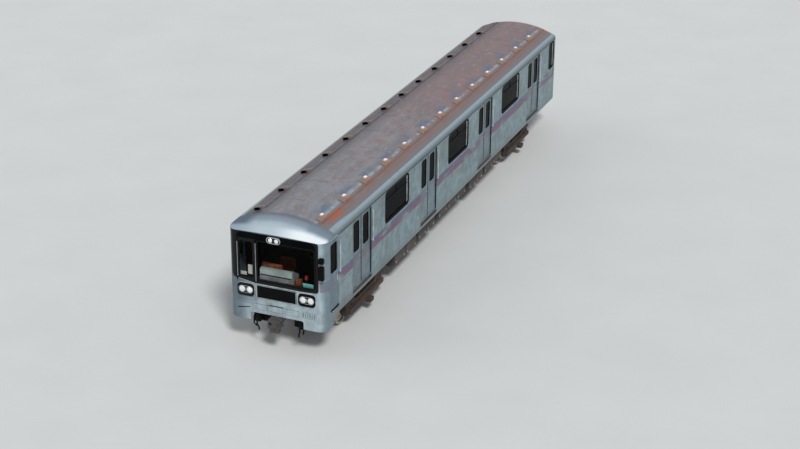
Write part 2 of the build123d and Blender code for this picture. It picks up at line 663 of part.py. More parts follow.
def make_equipment():
    """Equipment cases, air tanks and the compressor that hang between the bogies."""
    pieces = [equipment_case(*row) for row in LEFT_CASES]
    pieces += [mirrored(equipment_case(*row)) for row in RIGHT_CASES]
    for start, end, y, depth, radius in TANKS:
        x = (start * EQUIPMENT_HALF_SPACE, end * EQUIPMENT_HALF_SPACE)
        z = SOLE_Z - depth
        tank = along(y, z, radius, x)
        for strap in (x[0] + STRAP_INSET, x[1] - STRAP_INSET):
            tank = tank + block((strap - 20, strap + 20), (y - 60, y + 60), (z + radius - 30, BEAM_TOP_Z))
        pieces.append(tank)
    export("underfloor_equipment", Compound(pieces))


# Hinge places: where the axis of each door stands, and which way its leaf lies
CAB_HINGE = Pos(CAB_DOOR_X[1] - HINGED_GAP / 4, BODY_HALF_WIDTH - END_WALL - HINGE_STAND, 0) * Rot(0, 0, -90)
REAR_HINGE = Pos(REAR_INNER_X + HINGE_STAND, END_DOOR_HALF_WIDTH - HINGED_GAP / 4, 0)
BULKHEAD_BACK_X = BULKHEAD_X - BULKHEAD_THICKNESS
BULKHEAD_HINGE = (Pos(BULKHEAD_BACK_X - HINGE_STAND, HINGED_GAP / 4 - BULKHEAD_DOOR_HALF_WIDTH, 0)
                  * Rot(0, 0, 180))
EMERGENCY_HINGE = Pos(FRONT_X + HINGE_STAND, -EMERGENCY_DOOR_Y[0] + HINGED_GAP / 4, 0)


# Ends
def make_front():
    """Front wall, black mask, apron, centre panel and lamps."""
    wall_x = (FRONT_INNER_X - 1, FRONT_X + 1)
    corner = block((SIDE_FRONT_X, FRONT_X), (-BODY_HALF_WIDTH, BODY_HALF_WIDTH), (APRON_TOP_Z, SPRING_Z))
    door_y = (EMERGENCY_DOOR_Y[0] - HINGED_GAP / 2, EMERGENCY_DOOR_Y[1] + HINGED_GAP / 2)
    door_hole = block(wall_x, door_y, (APRON_TOP_Z - 1, EMERGENCY_DOOR_TOP_Z + HINGED_GAP / 2))
    mask_y = (-MASK_HALF_WIDTH, MASK_HALF_WIDTH)
    mask_z = (MASK_BOTTOM_Z, MASK_TOP_Z)
    wall = (plan_shell((APRON_TOP_Z, SPRING_Z)) & corner) - end_window(mask_y, mask_z, MASK_RADIUS, wall_x)
    wall = wall - door_hole
    fixed, _ = hinge_halves(CAB_HINGES_Z)
    wall = joined(wall, CAB_HINGE, fixed)
    wall = mirrored(joined(mirrored(wall), CAB_HINGE, fixed))
    for z in MIRRORS_Z:
        wall = wall + mirror_arm(z)
    fixed, _ = hinge_halves(EMERGENCY_HINGES_Z)
    export("front_wall", mirrored(joined(mirrored(wall), EMERGENCY_HINGE, fixed)))
    inset_y = (mask_y[0] + SEAM, mask_y[1] - SEAM)
    inset_z = (mask_z[0] + SEAM, mask_z[1] - SEAM)
    mask = end_window(inset_y, inset_z, MASK_RADIUS - SEAM, (FRONT_INNER_X, FRONT_X))
    mask = mask - end_window(SCREEN_Y, SCREEN_Z, SCREEN_RADIUS, wall_x) - door_hole
    export("front_mask", mask)
    make_apron()
    panel_x = (FRONT_X, FRONT_X + PANEL_DEPTH)
    fittings = [end_window((-PANEL_HALF_WIDTH, PANEL_HALF_WIDTH), PANEL_Z, PANEL_RADIUS, panel_x)]
    fittings.append(headlamps(LAMP_Y))
    top_z = (TOP_LAMP_Z - TOP_LAMP_HEIGHT / 2, TOP_LAMP_Z + TOP_LAMP_HEIGHT / 2)
    top_y = (TOP_LAMP_Y - TOP_LAMP_WIDTH / 2, TOP_LAMP_Y + TOP_LAMP_WIDTH / 2)
    fittings.append(lamp_unit(top_y, top_z, TOP_LAMP_HEIGHT / 2 - 1, TOP_LAMP_RADIUS, TOP_LAMP_OFFSET))
    fittings += [end_window(MIRROR_Y, z, MIRROR_RADIUS, MIRROR_X) for z in MIRRORS_Z]
    export("front_fittings", Compound(fittings))


def mirror_arm(z):
    """Short arm from the left corner post to the back of one mirror box."""
    y, middle_z = sum(MIRROR_Y) / 2, sum(z) / 2
    half = MIRROR_ARM / 2
    return block((FRONT_X - CORNER_RADIUS / 2, MIRROR_X[0]), (y - half, y + half), (middle_z - half, middle_z + half))


def lamp_unit(y, z, corner, lamp_radius, offset):
    """Round-cornered bezel with two round lamp recesses side by side."""
    unit = end_window(y, z, corner, (FRONT_X, FRONT_X + LAMP_DEPTH))
    middle_y, middle_z = sum(y) / 2, sum(z) / 2
    recess_x = (FRONT_X + LAMP_DEPTH - LAMP_RECESS, FRONT_X + LAMP_DEPTH + 1)
    for side in (-offset, offset):
        unit = unit - along(middle_y + side, middle_z, lamp_radius, recess_x)
    return unit


def headlamps(y):
    """Pair of headlamps in their bezel at one corner of the front."""
    z = (LAMP_Z - LAMP_HEIGHT / 2, LAMP_Z + LAMP_HEIGHT / 2)
    y_range = (y - LAMP_WIDTH / 2, y + LAMP_WIDTH / 2)
    return lamp_unit(y_range, z, LAMP_RADIUS, HEADLAMP_RADIUS, HEADLAMP_OFFSET)


def make_apron():
    """Lower front skin that wraps the corners, notched for the coupler."""
    z = (APRON_BOTTOM_Z, APRON_TOP_Z)
    keep = block((APRON_BACK_X, FRONT_X), (-BODY_HALF_WIDTH, BODY_HALF_WIDTH), z)
    apron = plan_shell(z) & keep
    past = (-BODY_HALF_WIDTH - 1, BODY_HALF_WIDTH + 1)
    apron = apron - block((APRON_BACK_X - 1, SIDE_FRONT_X), past, (SOLE_Z, APRON_TOP_Z + 1))
    notch_y = (-NOTCH_HALF_WIDTH, NOTCH_HALF_WIDTH)
    notch_z = (APRON_BOTTOM_Z - 2 * NOTCH_RADIUS, NOTCH_TOP_Z)
    notch = end_window(notch_y, notch_z, NOTCH_RADIUS, (FRONT_X - CORNER_RADIUS, FRONT_X + 1))
    back_cut = side_profile([(APRON_BACK_X - 1, SOLE_Z), (APRON_BACK_X - 1, APRON_BOTTOM_Z - 1),
                             (APRON_BACK_X + APRON_SLOPE, APRON_BOTTOM_Z - 1)], past)
    export("front_apron", apron - notch - back_cut)


def make_rear_wall():
    """Flat rear wall up to the roof line, with the gangway door opening."""
    x = (REAR_X, REAR_INNER_X)
    wall = block(x, (-BODY_HALF_WIDTH, BODY_HALF_WIDTH), (SOLE_Z, SPRING_Z)) + arch_solid(0, x)
    opening = block((x[0] - 1, x[1] + 1), (-END_DOOR_HALF_WIDTH, END_DOOR_HALF_WIDTH), (FLOOR_Z, HINGED_HEAD_Z))
    fixed, _ = hinge_halves(END_HINGES_Z)
    export("rear_wall", joined(wall - opening, REAR_HINGE, fixed))


def hung_leaf(half_width, window):
    """Hinged leaf centred on Y, with its hinge-side face at X 0 and a window of some width and sill height."""
    half = half_width - HINGED_GAP / 2
    foot = FLOOR_Z + DOOR_CLEARANCE
    top = HINGED_HEAD_Z - DOOR_CLEARANCE
    width, sill = window
    opening_z = (foot + sill, top - HINGED_WINDOW_HEAD)
    leaf = block((0, HINGED_LEAF), (-half, half), (foot, top))
    return leaf - end_window((-width / 2, width / 2), opening_z, HINGED_WINDOW_RADIUS, (-1, HINGED_LEAF + 1))


def make_hinged_doors():
    """Cab side doors, cab bulkhead door, rear end door and the emergency door in the front."""
    x = (CAB_DOOR_X[0] + HINGED_GAP, CAB_DOOR_X[1] - HINGED_GAP / 2)
    outer_y = BODY_HALF_WIDTH - END_WALL + HINGED_REST_GAP + HINGED_LEAF
    y = (outer_y - HINGED_LEAF, outer_y)
    leaf = block(x, y, (FLOOR_Z + DOOR_CLEARANCE, HINGED_HEAD_Z - DOOR_CLEARANCE))
    window_x = (x[0] + CAB_WINDOW_MARGIN, x[1] - CAB_WINDOW_MARGIN)
    leaf = leaf - side_window(window_x, CAB_WINDOW_Z, HINGED_WINDOW_RADIUS, (y[0] - 1, y[1] + 1))
    leaf = joined(leaf, CAB_HINGE, hinge_halves(CAB_HINGES_Z)[1])
    export("cab_door_left", leaf)
    export("cab_door_right", mirrored(leaf))

    moving = hinge_halves(END_HINGES_Z)[1]
    leaf = hung_leaf(BULKHEAD_DOOR_HALF_WIDTH, BULKHEAD_DOOR_WINDOW)
    leaf = Pos(BULKHEAD_BACK_X + HINGED_REST_GAP, 0, 0) * leaf
    export("bulkhead_door", joined(leaf, BULKHEAD_HINGE, moving))
    leaf = hung_leaf(END_DOOR_HALF_WIDTH, END_DOOR_WINDOW)
    leaf = Pos(REAR_INNER_X - HINGED_LEAF - HINGED_REST_GAP, 0, 0) * leaf
    export("rear_door", joined(leaf, REAR_HINGE, moving))

    x = (FRONT_INNER_X + 5, FRONT_X)
    leaf = block(x, EMERGENCY_DOOR_Y, (APRON_TOP_Z + DOOR_CLEARANCE, EMERGENCY_DOOR_TOP_Z))
    window = end_window(EMERGENCY_WINDOW_Y, EMERGENCY_WINDOW_Z, HINGED_WINDOW_RADIUS, (x[0] - 1, x[1] + 1))
    leaf = leaf - window + headlamps(-LAMP_Y)
    moving = hinge_halves(EMERGENCY_HINGES_Z)[1]
    export("emergency_door", mirrored(joined(mirrored(leaf), EMERGENCY_HINGE, moving)))


def make_bulkhead():
    """Wall between the cab and the saloon, with the door opening."""
    x = (BULKHEAD_BACK_X, BULKHEAD_X)
    wall = block(x, (-SIDE_INNER_Y, SIDE_INNER_Y), (FLOOR_Z, SPRING_Z))
    y = (-BULKHEAD_DOOR_HALF_WIDTH, BULKHEAD_DOOR_HALF_WIDTH)
    opening = block((x[0] - 1, x[1] + 1), y, (FLOOR_Z - 1, HINGED_HEAD_Z))
    fixed, _ = hinge_halves(END_HINGES_Z)
    export("cab_bulkhead", joined(wall - opening, BULKHEAD_HINGE, fixed))


def make_glass():
    """Windscreen and the panes of the fixed side windows."""
    y = (BODY_HALF_WIDTH - GLASS_INSET - GLASS_THICKNESS, BODY_HALF_WIDTH - GLASS_INSET)
    z = (WINDOW_SILL_Z + SEAM, WINDOW_TOP_Z - SEAM)
    spans = [(c, WINDOW_LENGTH) for c in WINDOW_CENTRES] + [(END_WINDOW_X, END_WINDOW_LENGTH)]
    screen_y = (SCREEN_Y[0] + SEAM, SCREEN_Y[1] - SEAM)
    screen_z = (SCREEN_Z[0] + SEAM, SCREEN_Z[1] - SEAM)
    screen_x = (FRONT_X - GLASS_INSET, FRONT_X - GLASS_INSET + GLASS_THICKNESS)
    panes = [end_window(screen_y, screen_z, SCREEN_RADIUS - SEAM, screen_x)]
    for centre, length in spans:
        x = (centre - length / 2 + SEAM, centre + length / 2 - SEAM)
        panes += both_sides(side_window(x, z, WINDOW_RADIUS - SEAM, y))
    export("glass_panes", Compound(panes))


# Saloon and cab
def make_ceiling():
    """Folded ceiling lining that rests against the cantrails."""
    t = CEILING_THICKNESS
    points = [(-SIDE_INNER_Y, CEILING_EDGE_Z), (-CEILING_HALF_WIDTH, CEILING_Z), (CEILING_HALF_WIDTH, CEILING_Z),
              (SIDE_INNER_Y, CEILING_EDGE_Z), (SIDE_INNER_Y, CEILING_EDGE_Z + t),
              (CEILING_HALF_WIDTH, CEILING_Z + t), (-CEILING_HALF_WIDTH, CEILING_Z + t),
              (-SIDE_INNER_Y, CEILING_EDGE_Z + t)]
    export("ceiling", cross_profile(points, (REAR_INNER_X, BULKHEAD_BACK_X)))


def bench_ranges():
    """X ranges of the benches between the doors and of the short ones at the rear end."""
    reach = DOOR_PITCH / 2 - DOOR_OPENING / 2 - BENCH_END_GAP
    rear = (REAR_INNER_X, DOOR_CENTRES[0] - DOOR_OPENING / 2 - BENCH_END_GAP)
    return [(c - reach, c + reach) for c in WINDOW_CENTRES] + [rear]


def make_saloon():
    """Long benches along the walls, and a pole and rail frame at the edge of each."""
    seat_z = FLOOR_Z + BENCH_HEIGHT
    back_z = FLOOR_Z + BENCH_BACK_HEIGHT
    front_y = SIDE_INNER_Y - BENCH_DEPTH
    profile = [(SIDE_INNER_Y, FLOOR_Z), (SIDE_INNER_Y, back_z), (SIDE_INNER_Y - 60, back_z),
               (SIDE_INNER_Y - 90, seat_z), (front_y, seat_z + 15), (front_y, seat_z - 90),
               (front_y + 60, seat_z - 110), (front_y + 60, FLOOR_Z)]
    benches = []
    rails = []
    rail_y = front_y - POLE_RADIUS
    for x in bench_ranges():
        benches += both_sides(cross_profile(profile, x))
        low, high = x[0] + POLE_INSET, x[1] - POLE_INSET
        frame = along(rail_y, FLOOR_Z + TOP_RAIL_HEIGHT, POLE_RADIUS, (low, high))
        for end in (low, high):
            frame = frame + upright(end, rail_y, POLE_RADIUS, (FLOOR_Z, CEILING_Z))
        rails += both_sides(frame)
    export("benches", Compound(benches))
    export("grab_rails", Compound(rails))


def make_cab_fittings():
    """Driver's desk with its sloping top, side shelf and the seat on a pedestal."""
    back = DESK_FRONT_X
    desk_points = [(back, FLOOR_Z), (back, FLOOR_Z + 1000), (back - 90, FLOOR_Z + 1025),
                   (back - 215, FLOOR_Z + 955), (back - 385, FLOOR_Z + 850),
                   (back - 405, FLOOR_Z + 760), (back - 215, FLOOR_Z + 700), (back - 215, FLOOR_Z)]
    desk = side_profile(desk_points, DESK_Y)
    shelf = block((back - 155, back), (DESK_Y[1], SHELF_Y), (FLOOR_Z, FLOOR_Z + 660))
    half = SEAT_HALF_WIDTH
    seat_z = FLOOR_Z + SEAT_HEIGHT
    seat = upright(SEAT_X, SEAT_Y, 60, (FLOOR_Z, seat_z))
    seat = seat + block((SEAT_X - half, SEAT_X + half), (SEAT_Y - half, SEAT_Y + half), (seat_z - 1, seat_z + 80))
    back_points = [(SEAT_X - half, seat_z + 70), (SEAT_X - half + 70, seat_z + 70),
                   (SEAT_X - half + 20, seat_z + 520), (SEAT_X - half - 40, seat_z + 520)]
    seat = seat + side_profile(back_points, (SEAT_Y - half + 10, SEAT_Y + half - 10))
    export("cab_fittings", Compound([desk, shelf, seat]))


def make_side_fittings():
    """Rain gutters, and handrails beside the doors on two stand-offs each."""
    gutter_y = (BODY_HALF_WIDTH, BODY_HALF_WIDTH + GUTTER_WIDTH)
    pieces = both_sides(block((REAR_X, CAB_DOOR_X[0]), gutter_y, GUTTER_Z))
    rail_y = BODY_HALF_WIDTH + HANDRAIL_STAND
    places = [CAB_DOOR_X[0] - 75] + [centre - DOOR_OPENING / 2 - 45 for centre in DOOR_CENTRES]
    for x in places:
        rail = upright(x, rail_y, HANDRAIL_RADIUS, HANDRAIL_Z)
        for z in (HANDRAIL_Z[0] + HANDRAIL_FOOT_INSET, HANDRAIL_Z[1] - HANDRAIL_FOOT_INSET):
            rail = rail + across(x, z, HANDRAIL_FOOT_RADIUS, (BODY_HALF_WIDTH, rail_y))
        pieces += both_sides(rail)
    export("side_fittings", Compound(pieces))


# Bogies
def wheelset():
    """Axle with two flanged wheels, turned about the Y axis."""
    back, front = WHEEL_BACK_Y, WHEEL_BACK_Y + WHEEL_WIDTH
    flange = WHEEL_RADIUS + FLANGE_DEPTH
    half = [(AXLE_RADIUS, 0), (AXLE_RADIUS, back), (flange, back), (flange - 3, back + 14),
            (WHEEL_RADIUS, back + 34), (WHEEL_RADIUS - 5, front), (WHEEL_RADIUS - 65, front),
            (AXLE_RADIUS + 50, back + 55), (AXLE_RADIUS + 50, front + 10), (JOURNAL_RADIUS, front + 10),
            (JOURNAL_RADIUS, JOURNAL_END_Y)]
    outline = [(0, JOURNAL_END_Y)] + list(reversed(half)) + [(r, -y) for r, y in half[1:]] + [(0, -JOURNAL_END_Y)]
    turned = revolve(make_face(Polyline(*outline, close=True)), Axis.Y)
    return Pos(0, 0, WHEEL_RADIUS) * turned


def side_beam(y):
    """Side beam that drops between the axleboxes."""
    end = WHEELBASE / 2
    points = [(-end - 190, BEAM_END_Z[0]), (-end - 190, BEAM_END_Z[1] - 40), (-end - 130, BEAM_END_Z[1]),
              (-end + 260, BEAM_END_Z[1]), (-end + 480, BEAM_MID_Z[1]), (end - 480, BEAM_MID_Z[1]),
              (end - 260, BEAM_END_Z[1]), (end + 130, BEAM_END_Z[1]), (end + 190, BEAM_END_Z[1] - 40),
              (end + 190, BEAM_END_Z[0]), (end - 190, BEAM_END_Z[0]), (end - 400, BEAM_MID_Z[0]),
              (-end + 400, BEAM_MID_Z[0]), (-end + 190, BEAM_END_Z[0])]
    return side_profile(points, (y - BEAM_WIDTH / 2, y + BEAM_WIDTH / 2))


def bogie_frame():
    """Two side beams joined by two transoms, with motor brackets."""
    frame = side_beam(BEAM_Y) + side_beam(-BEAM_Y)
    inner = BEAM_Y - BEAM_WIDTH / 2 + 1
    for x in (-TRANSOM_X, TRANSOM_X):
        span = (x - TRANSOM_WIDTH / 2, x + TRANSOM_WIDTH / 2)
        frame = frame + block(span, (-inner, inner), (BEAM_MID_Z[0] + 20, BEAM_MID_Z[1]))
    return frame


def bogie_bolster():
    """Swing bolster with the socket for the centre pin and a spring plank below."""
    half = BOLSTER_WIDTH / 2
    points = [(-BOLSTER_HALF_LENGTH, BOLSTER_Z[1] - BOLSTER_END), (-BOLSTER_HALF_LENGTH, BOLSTER_Z[1]),
              (BOLSTER_HALF_LENGTH, BOLSTER_Z[1]), (BOLSTER_HALF_LENGTH, BOLSTER_Z[1] - BOLSTER_END),
              (BEAM_Y - SPRING_RADIUS - 10, BOLSTER_Z[1] - BOLSTER_END), (450, BOLSTER_Z[0]), (-450, BOLSTER_Z[0]),
              (SPRING_RADIUS + 10 - BEAM_Y, BOLSTER_Z[1] - BOLSTER_END)]
    beam = cross_profile(points, (-half, half))
    socket = upright(0, 0, PIVOT_RADIUS + RUNNING_FIT, (BOLSTER_Z[1] - PIVOT_DEPTH, BOLSTER_Z[1] + 1))
    return beam - socket


def bogie_suspension():
    """Coil spring nests under the bolster and axleboxes with their rubber blocks."""
    pieces = []
    for x in (-SPRING_X, SPRING_X):
        for y in (-BEAM_Y, BEAM_Y):
            pieces.append(upright(x, y, SPRING_RADIUS, (BEAM_MID_Z[1], BOLSTER_Z[1] - BOLSTER_END)))
    for x in (-WHEELBASE / 2, WHEELBASE / 2):
        box_y = (WHEEL_BACK_Y + WHEEL_WIDTH + 45, JOURNAL_END_Y + 20)
        half = AXLEBOX_SIZE / 2
        box = block((x - half, x + half), box_y, (WHEEL_RADIUS - half, WHEEL_RADIUS + half))
        box = chamfer(box.edges().filter_by(Axis.Y), AXLEBOX_CHAMFER)
        rubber_y = (BEAM_Y - 60, BEAM_Y + 60)
        box = box + block((x - 85, x + 85), rubber_y, (WHEEL_RADIUS + half - 1, BEAM_END_Z[0]))
        bore = across(x, WHEEL_RADIUS, JOURNAL_RADIUS + RUNNING_FIT, (box_y[0] - 1, JOURNAL_END_Y + 5))
        pieces += both_sides(box - bore)
    return Compound(pieces)


def bogie_motors():
    """Two traction motors with gear cases that close round the axles."""
    pieces = []
    for turn in (0, 180):
        y = (-MOTOR_HALF_LENGTH, MOTOR_HALF_LENGTH)
        motor = across(MOTOR_X, MOTOR_Z, MOTOR_RADIUS, y)
        lug_x = (TRANSOM_X + TRANSOM_WIDTH / 2, MOTOR_X - 180)
        motor = motor + block(lug_x, (-150, 150), (BEAM_MID_Z[0] + 30, BEAM_MID_Z[1] - 10))
        case_y = (MOTOR_HALF_LENGTH - 1, MOTOR_HALF_LENGTH + GEARCASE_WIDTH)
        axle_x = WHEELBASE / 2
        wheel_case = across(axle_x, WHEEL_RADIUS, GEARCASE_RADIUS, case_y)
        case = wheel_case + across(MOTOR_X, MOTOR_Z, PINION_CASE_RADIUS, case_y)
        bridge = side_profile([(MOTOR_X, MOTOR_Z - PINION_CASE_RADIUS), (axle_x, WHEEL_RADIUS - GEARCASE_RADIUS),
                               (axle_x, WHEEL_RADIUS + GEARCASE_RADIUS), (MOTOR_X, MOTOR_Z + PINION_CASE_RADIUS)],
                              case_y)
        bore = across(axle_x, WHEEL_RADIUS, AXLE_RADIUS + RUNNING_FIT, (case_y[0] - 1, case_y[1] + 1))
        pieces.append(Rot(0, 0, turn) * (motor + case + bridge - bore))
    return Compound(pieces)


def bogie_gear():
    """Tread brake blocks on their hangers, and the collector beams with their shoes."""
    pieces = []
    block_y = BRAKE_SHOE_Y
    past_y = (block_y[0] - 1, block_y[1] + 1)
    face = WHEEL_RADIUS + BRAKE_SHOE_GAP
    back = face + BRAKE_SHOE_THICKNESS
    axle_x = WHEELBASE / 2
    hanger_x = (axle_x - face - 34, axle_x - face - 9)
    for turn in (0, 180):
        shoe = across(axle_x, WHEEL_RADIUS, back, block_y) - across(axle_x, WHEEL_RADIUS, face, past_y)
        shoe = shoe & block((axle_x - back - 10, axle_x - 250), past_y, (WHEEL_RADIUS + 10, WHEEL_RADIUS + 150))
        hanger_y = (block_y[1] - 20, BEAM_Y - BEAM_WIDTH / 2)
        hanger = block(hanger_x, hanger_y, (WHEEL_RADIUS + 70, WHEEL_RADIUS + 110))
        for piece in both_sides(shoe + hanger):
            pieces.append(Rot(0, 0, turn) * piece)
    outer = JOURNAL_END_Y + 20
    depth, height = COLLECTOR_BEAM
    beam_z = (WHEEL_RADIUS - height / 2, WHEEL_RADIUS + height / 2)
    beam = block((-axle_x - 60, axle_x + 60), (outer, outer + depth), beam_z)
    shoe_points = [(-140, WHEEL_RADIUS - 40), (140, WHEEL_RADIUS - 40), (110, WHEEL_RADIUS - 140),
                   (-110, WHEEL_RADIUS - 140)]
    shoe = side_profile(shoe_points, (outer + depth - 1, outer + COLLECTOR_REACH))
    pieces += both_sides(beam + shoe)
    return Compound(pieces)


def make_bogies():
    """Both bogies and their wheelsets; the second is turned end for end."""
    for end, name in ((1, "front"), (-1, "rear")):
        place = Pos(end * BOGIE_X, 0, 0) * Rot(0, 0, 0 if end > 0 else 180)
        export(f"bogie_frame_{name}", place * bogie_frame())
        export(f"bogie_bolster_{name}", place * bogie_bolster())
        export(f"bogie_suspension_{name}", place * bogie_suspension())
        export(f"bogie_motors_{name}", place * bogie_motors())
        export(f"bogie_gear_{name}", place * bogie_gear())
        for number, axle in ((1, 1), (2, -1)):
            x = end * BOGIE_X + axle * WHEELBASE / 2
            export(f"wheelset_{name}_{number}", Pos(x, 0, 0) * wheelset())


# Couplers
def coupler():
    """Automatic coupler: shank with an eye at the pin, and a head with cone and socket."""
    z = COUPLER_Z
    pivot = COUPLER_PIVOT_X
    half = COUPLER_SHANK / 2
    height = COUPLER_HEAD_HALF_HEIGHT
    width = COUPLER_HEAD_HALF_WIDTH
    head_x = (COUPLER_REACH - COUPLER_HEAD_LENGTH - 1, COUPLER_REACH)
    neck_x = COUPLER_REACH - COUPLER_HEAD_LENGTH - 120
    eye = upright(pivot, 0, COUPLER_EYE_RADIUS, (z - 60 + SEAM, z + 60 - SEAM))
    shank = block((pivot, neck_x + 10), (-half, half), (z - half, z + half))
    neck = Plane(origin=(neck_x, 0, z), x_dir=(0, 1, 0), z_dir=(1, 0, 0))
    head = loft([neck * Rectangle(110, 110), neck.offset(120) * Rectangle(2 * width, 2 * height)])
    body = block(head_x, (-width, width), (z - height, z + height))
    head = head + chamfer(body.edges().filter_by(Axis.X), 30)
    box_x = (COUPLER_REACH - 180, COUPLER_REACH - 20)
    head = head + block(box_x, (50 - width, width - 50), (z - height - 115, z - height + 1))
    cone_x = (COUPLER_REACH - 1, COUPLER_REACH + COUPLER_CONE_LENGTH)
    socket_x = (COUPLER_REACH - COUPLER_SOCKET_DEPTH, COUPLER_REACH + 1)
    cone = along(COUPLER_CONE_Y, z, COUPLER_CONE_RADIUS, cone_x)
    socket = along(-COUPLER_CONE_Y, z, COUPLER_SOCKET_RADIUS, socket_x)
    bore = upright(pivot, 0, COUPLER_PIN_RADIUS + PIN_CLEARANCE, (z - 70, z + 70))
    return eye + shank + head + cone - socket - bore


def make_couplers():
    """One coupler at each end."""
    export("coupler_front", coupler())
    export("coupler_rear", Rot(0, 0, 180) * coupler())


make_roof()
make_dome()
make_vents()
make_side_panels(1)
make_side_panels(-1)
make_body_rails()
make_door_leaves()
make_underframe()
make_equipment()
make_front()
make_rear_wall()
make_hinged_doors()
make_bulkhead()
make_glass()
make_ceiling()
make_saloon()
make_cab_fittings()
make_side_fittings()
make_bogies()
make_couplers()
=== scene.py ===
"""Metro driving car: finishes, fittings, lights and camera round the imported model."""

import logging
import math
from dataclasses import dataclass, field
from enum import Enum
from typing import Callable, Sequence

import bmesh
import bpy
from mathutils import Matrix, Vector


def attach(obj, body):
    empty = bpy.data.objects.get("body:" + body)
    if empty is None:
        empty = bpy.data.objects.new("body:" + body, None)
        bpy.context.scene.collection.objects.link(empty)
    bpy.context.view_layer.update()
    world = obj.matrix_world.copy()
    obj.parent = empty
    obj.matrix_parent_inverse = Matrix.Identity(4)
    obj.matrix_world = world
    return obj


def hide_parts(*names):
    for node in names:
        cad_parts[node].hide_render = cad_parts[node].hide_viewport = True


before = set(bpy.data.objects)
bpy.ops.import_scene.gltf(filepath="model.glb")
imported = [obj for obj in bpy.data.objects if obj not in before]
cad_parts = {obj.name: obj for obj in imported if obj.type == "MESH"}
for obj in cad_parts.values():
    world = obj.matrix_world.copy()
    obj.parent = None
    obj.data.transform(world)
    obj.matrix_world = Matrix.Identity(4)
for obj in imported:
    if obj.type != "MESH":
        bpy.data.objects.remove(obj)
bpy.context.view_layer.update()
log = logging.getLogger("metro_car")

Point = tuple[float, float, float]
Colour = tuple[int, int, int]
LIFT = 0.028
CARBODY = "carbody"
ALONG = Vector((1, 0, 0))
UPRIGHT = Vector((0, 0, 1))


def up(*heights: float) -> tuple[float, ...]:
    """Heights over the rail head as heights in the frame."""
    return tuple(z + LIFT for z in heights)


# Node graphs
class Wire:
    """A socket that takes part in Python sums and products, and adds the Math nodes they need."""

    def __init__(self, graph: "Graph", socket: bpy.types.NodeSocket) -> None:
        """Keep the socket and the graph it belongs to."""
        self.graph = graph
        self.socket = socket

    def __add__(self, other: "Value") -> "Wire":
        """Sum."""
        return self.graph.math("ADD", self, other)

    def __sub__(self, other: "Value") -> "Wire":
        """Difference."""
        return self.graph.math("SUBTRACT", self, other)

    def __rsub__(self, other: "Value") -> "Wire":
        """Difference from a number."""
        return self.graph.math("SUBTRACT", other, self)

    def __mul__(self, other: "Value") -> "Wire":
        """Product."""
        return self.graph.math("MULTIPLY", self, other)

    def __truediv__(self, other: "Value") -> "Wire":
        """Quotient."""
        return self.graph.math("DIVIDE", self, other)

    def __rtruediv__(self, other: "Value") -> "Wire":
        """A number divided by this."""
        return self.graph.math("DIVIDE", other, self)

    __radd__ = __add__
    __rmul__ = __mul__

    def __abs__(self) -> "Wire":
        """Absolute value."""
        return self.graph.math("ABSOLUTE", self)

    def other(self, name: str) -> "Wire":
        """Another output of the same node."""
        return Wire(self.graph, self.socket.node.outputs[name])


Value = float | Wire


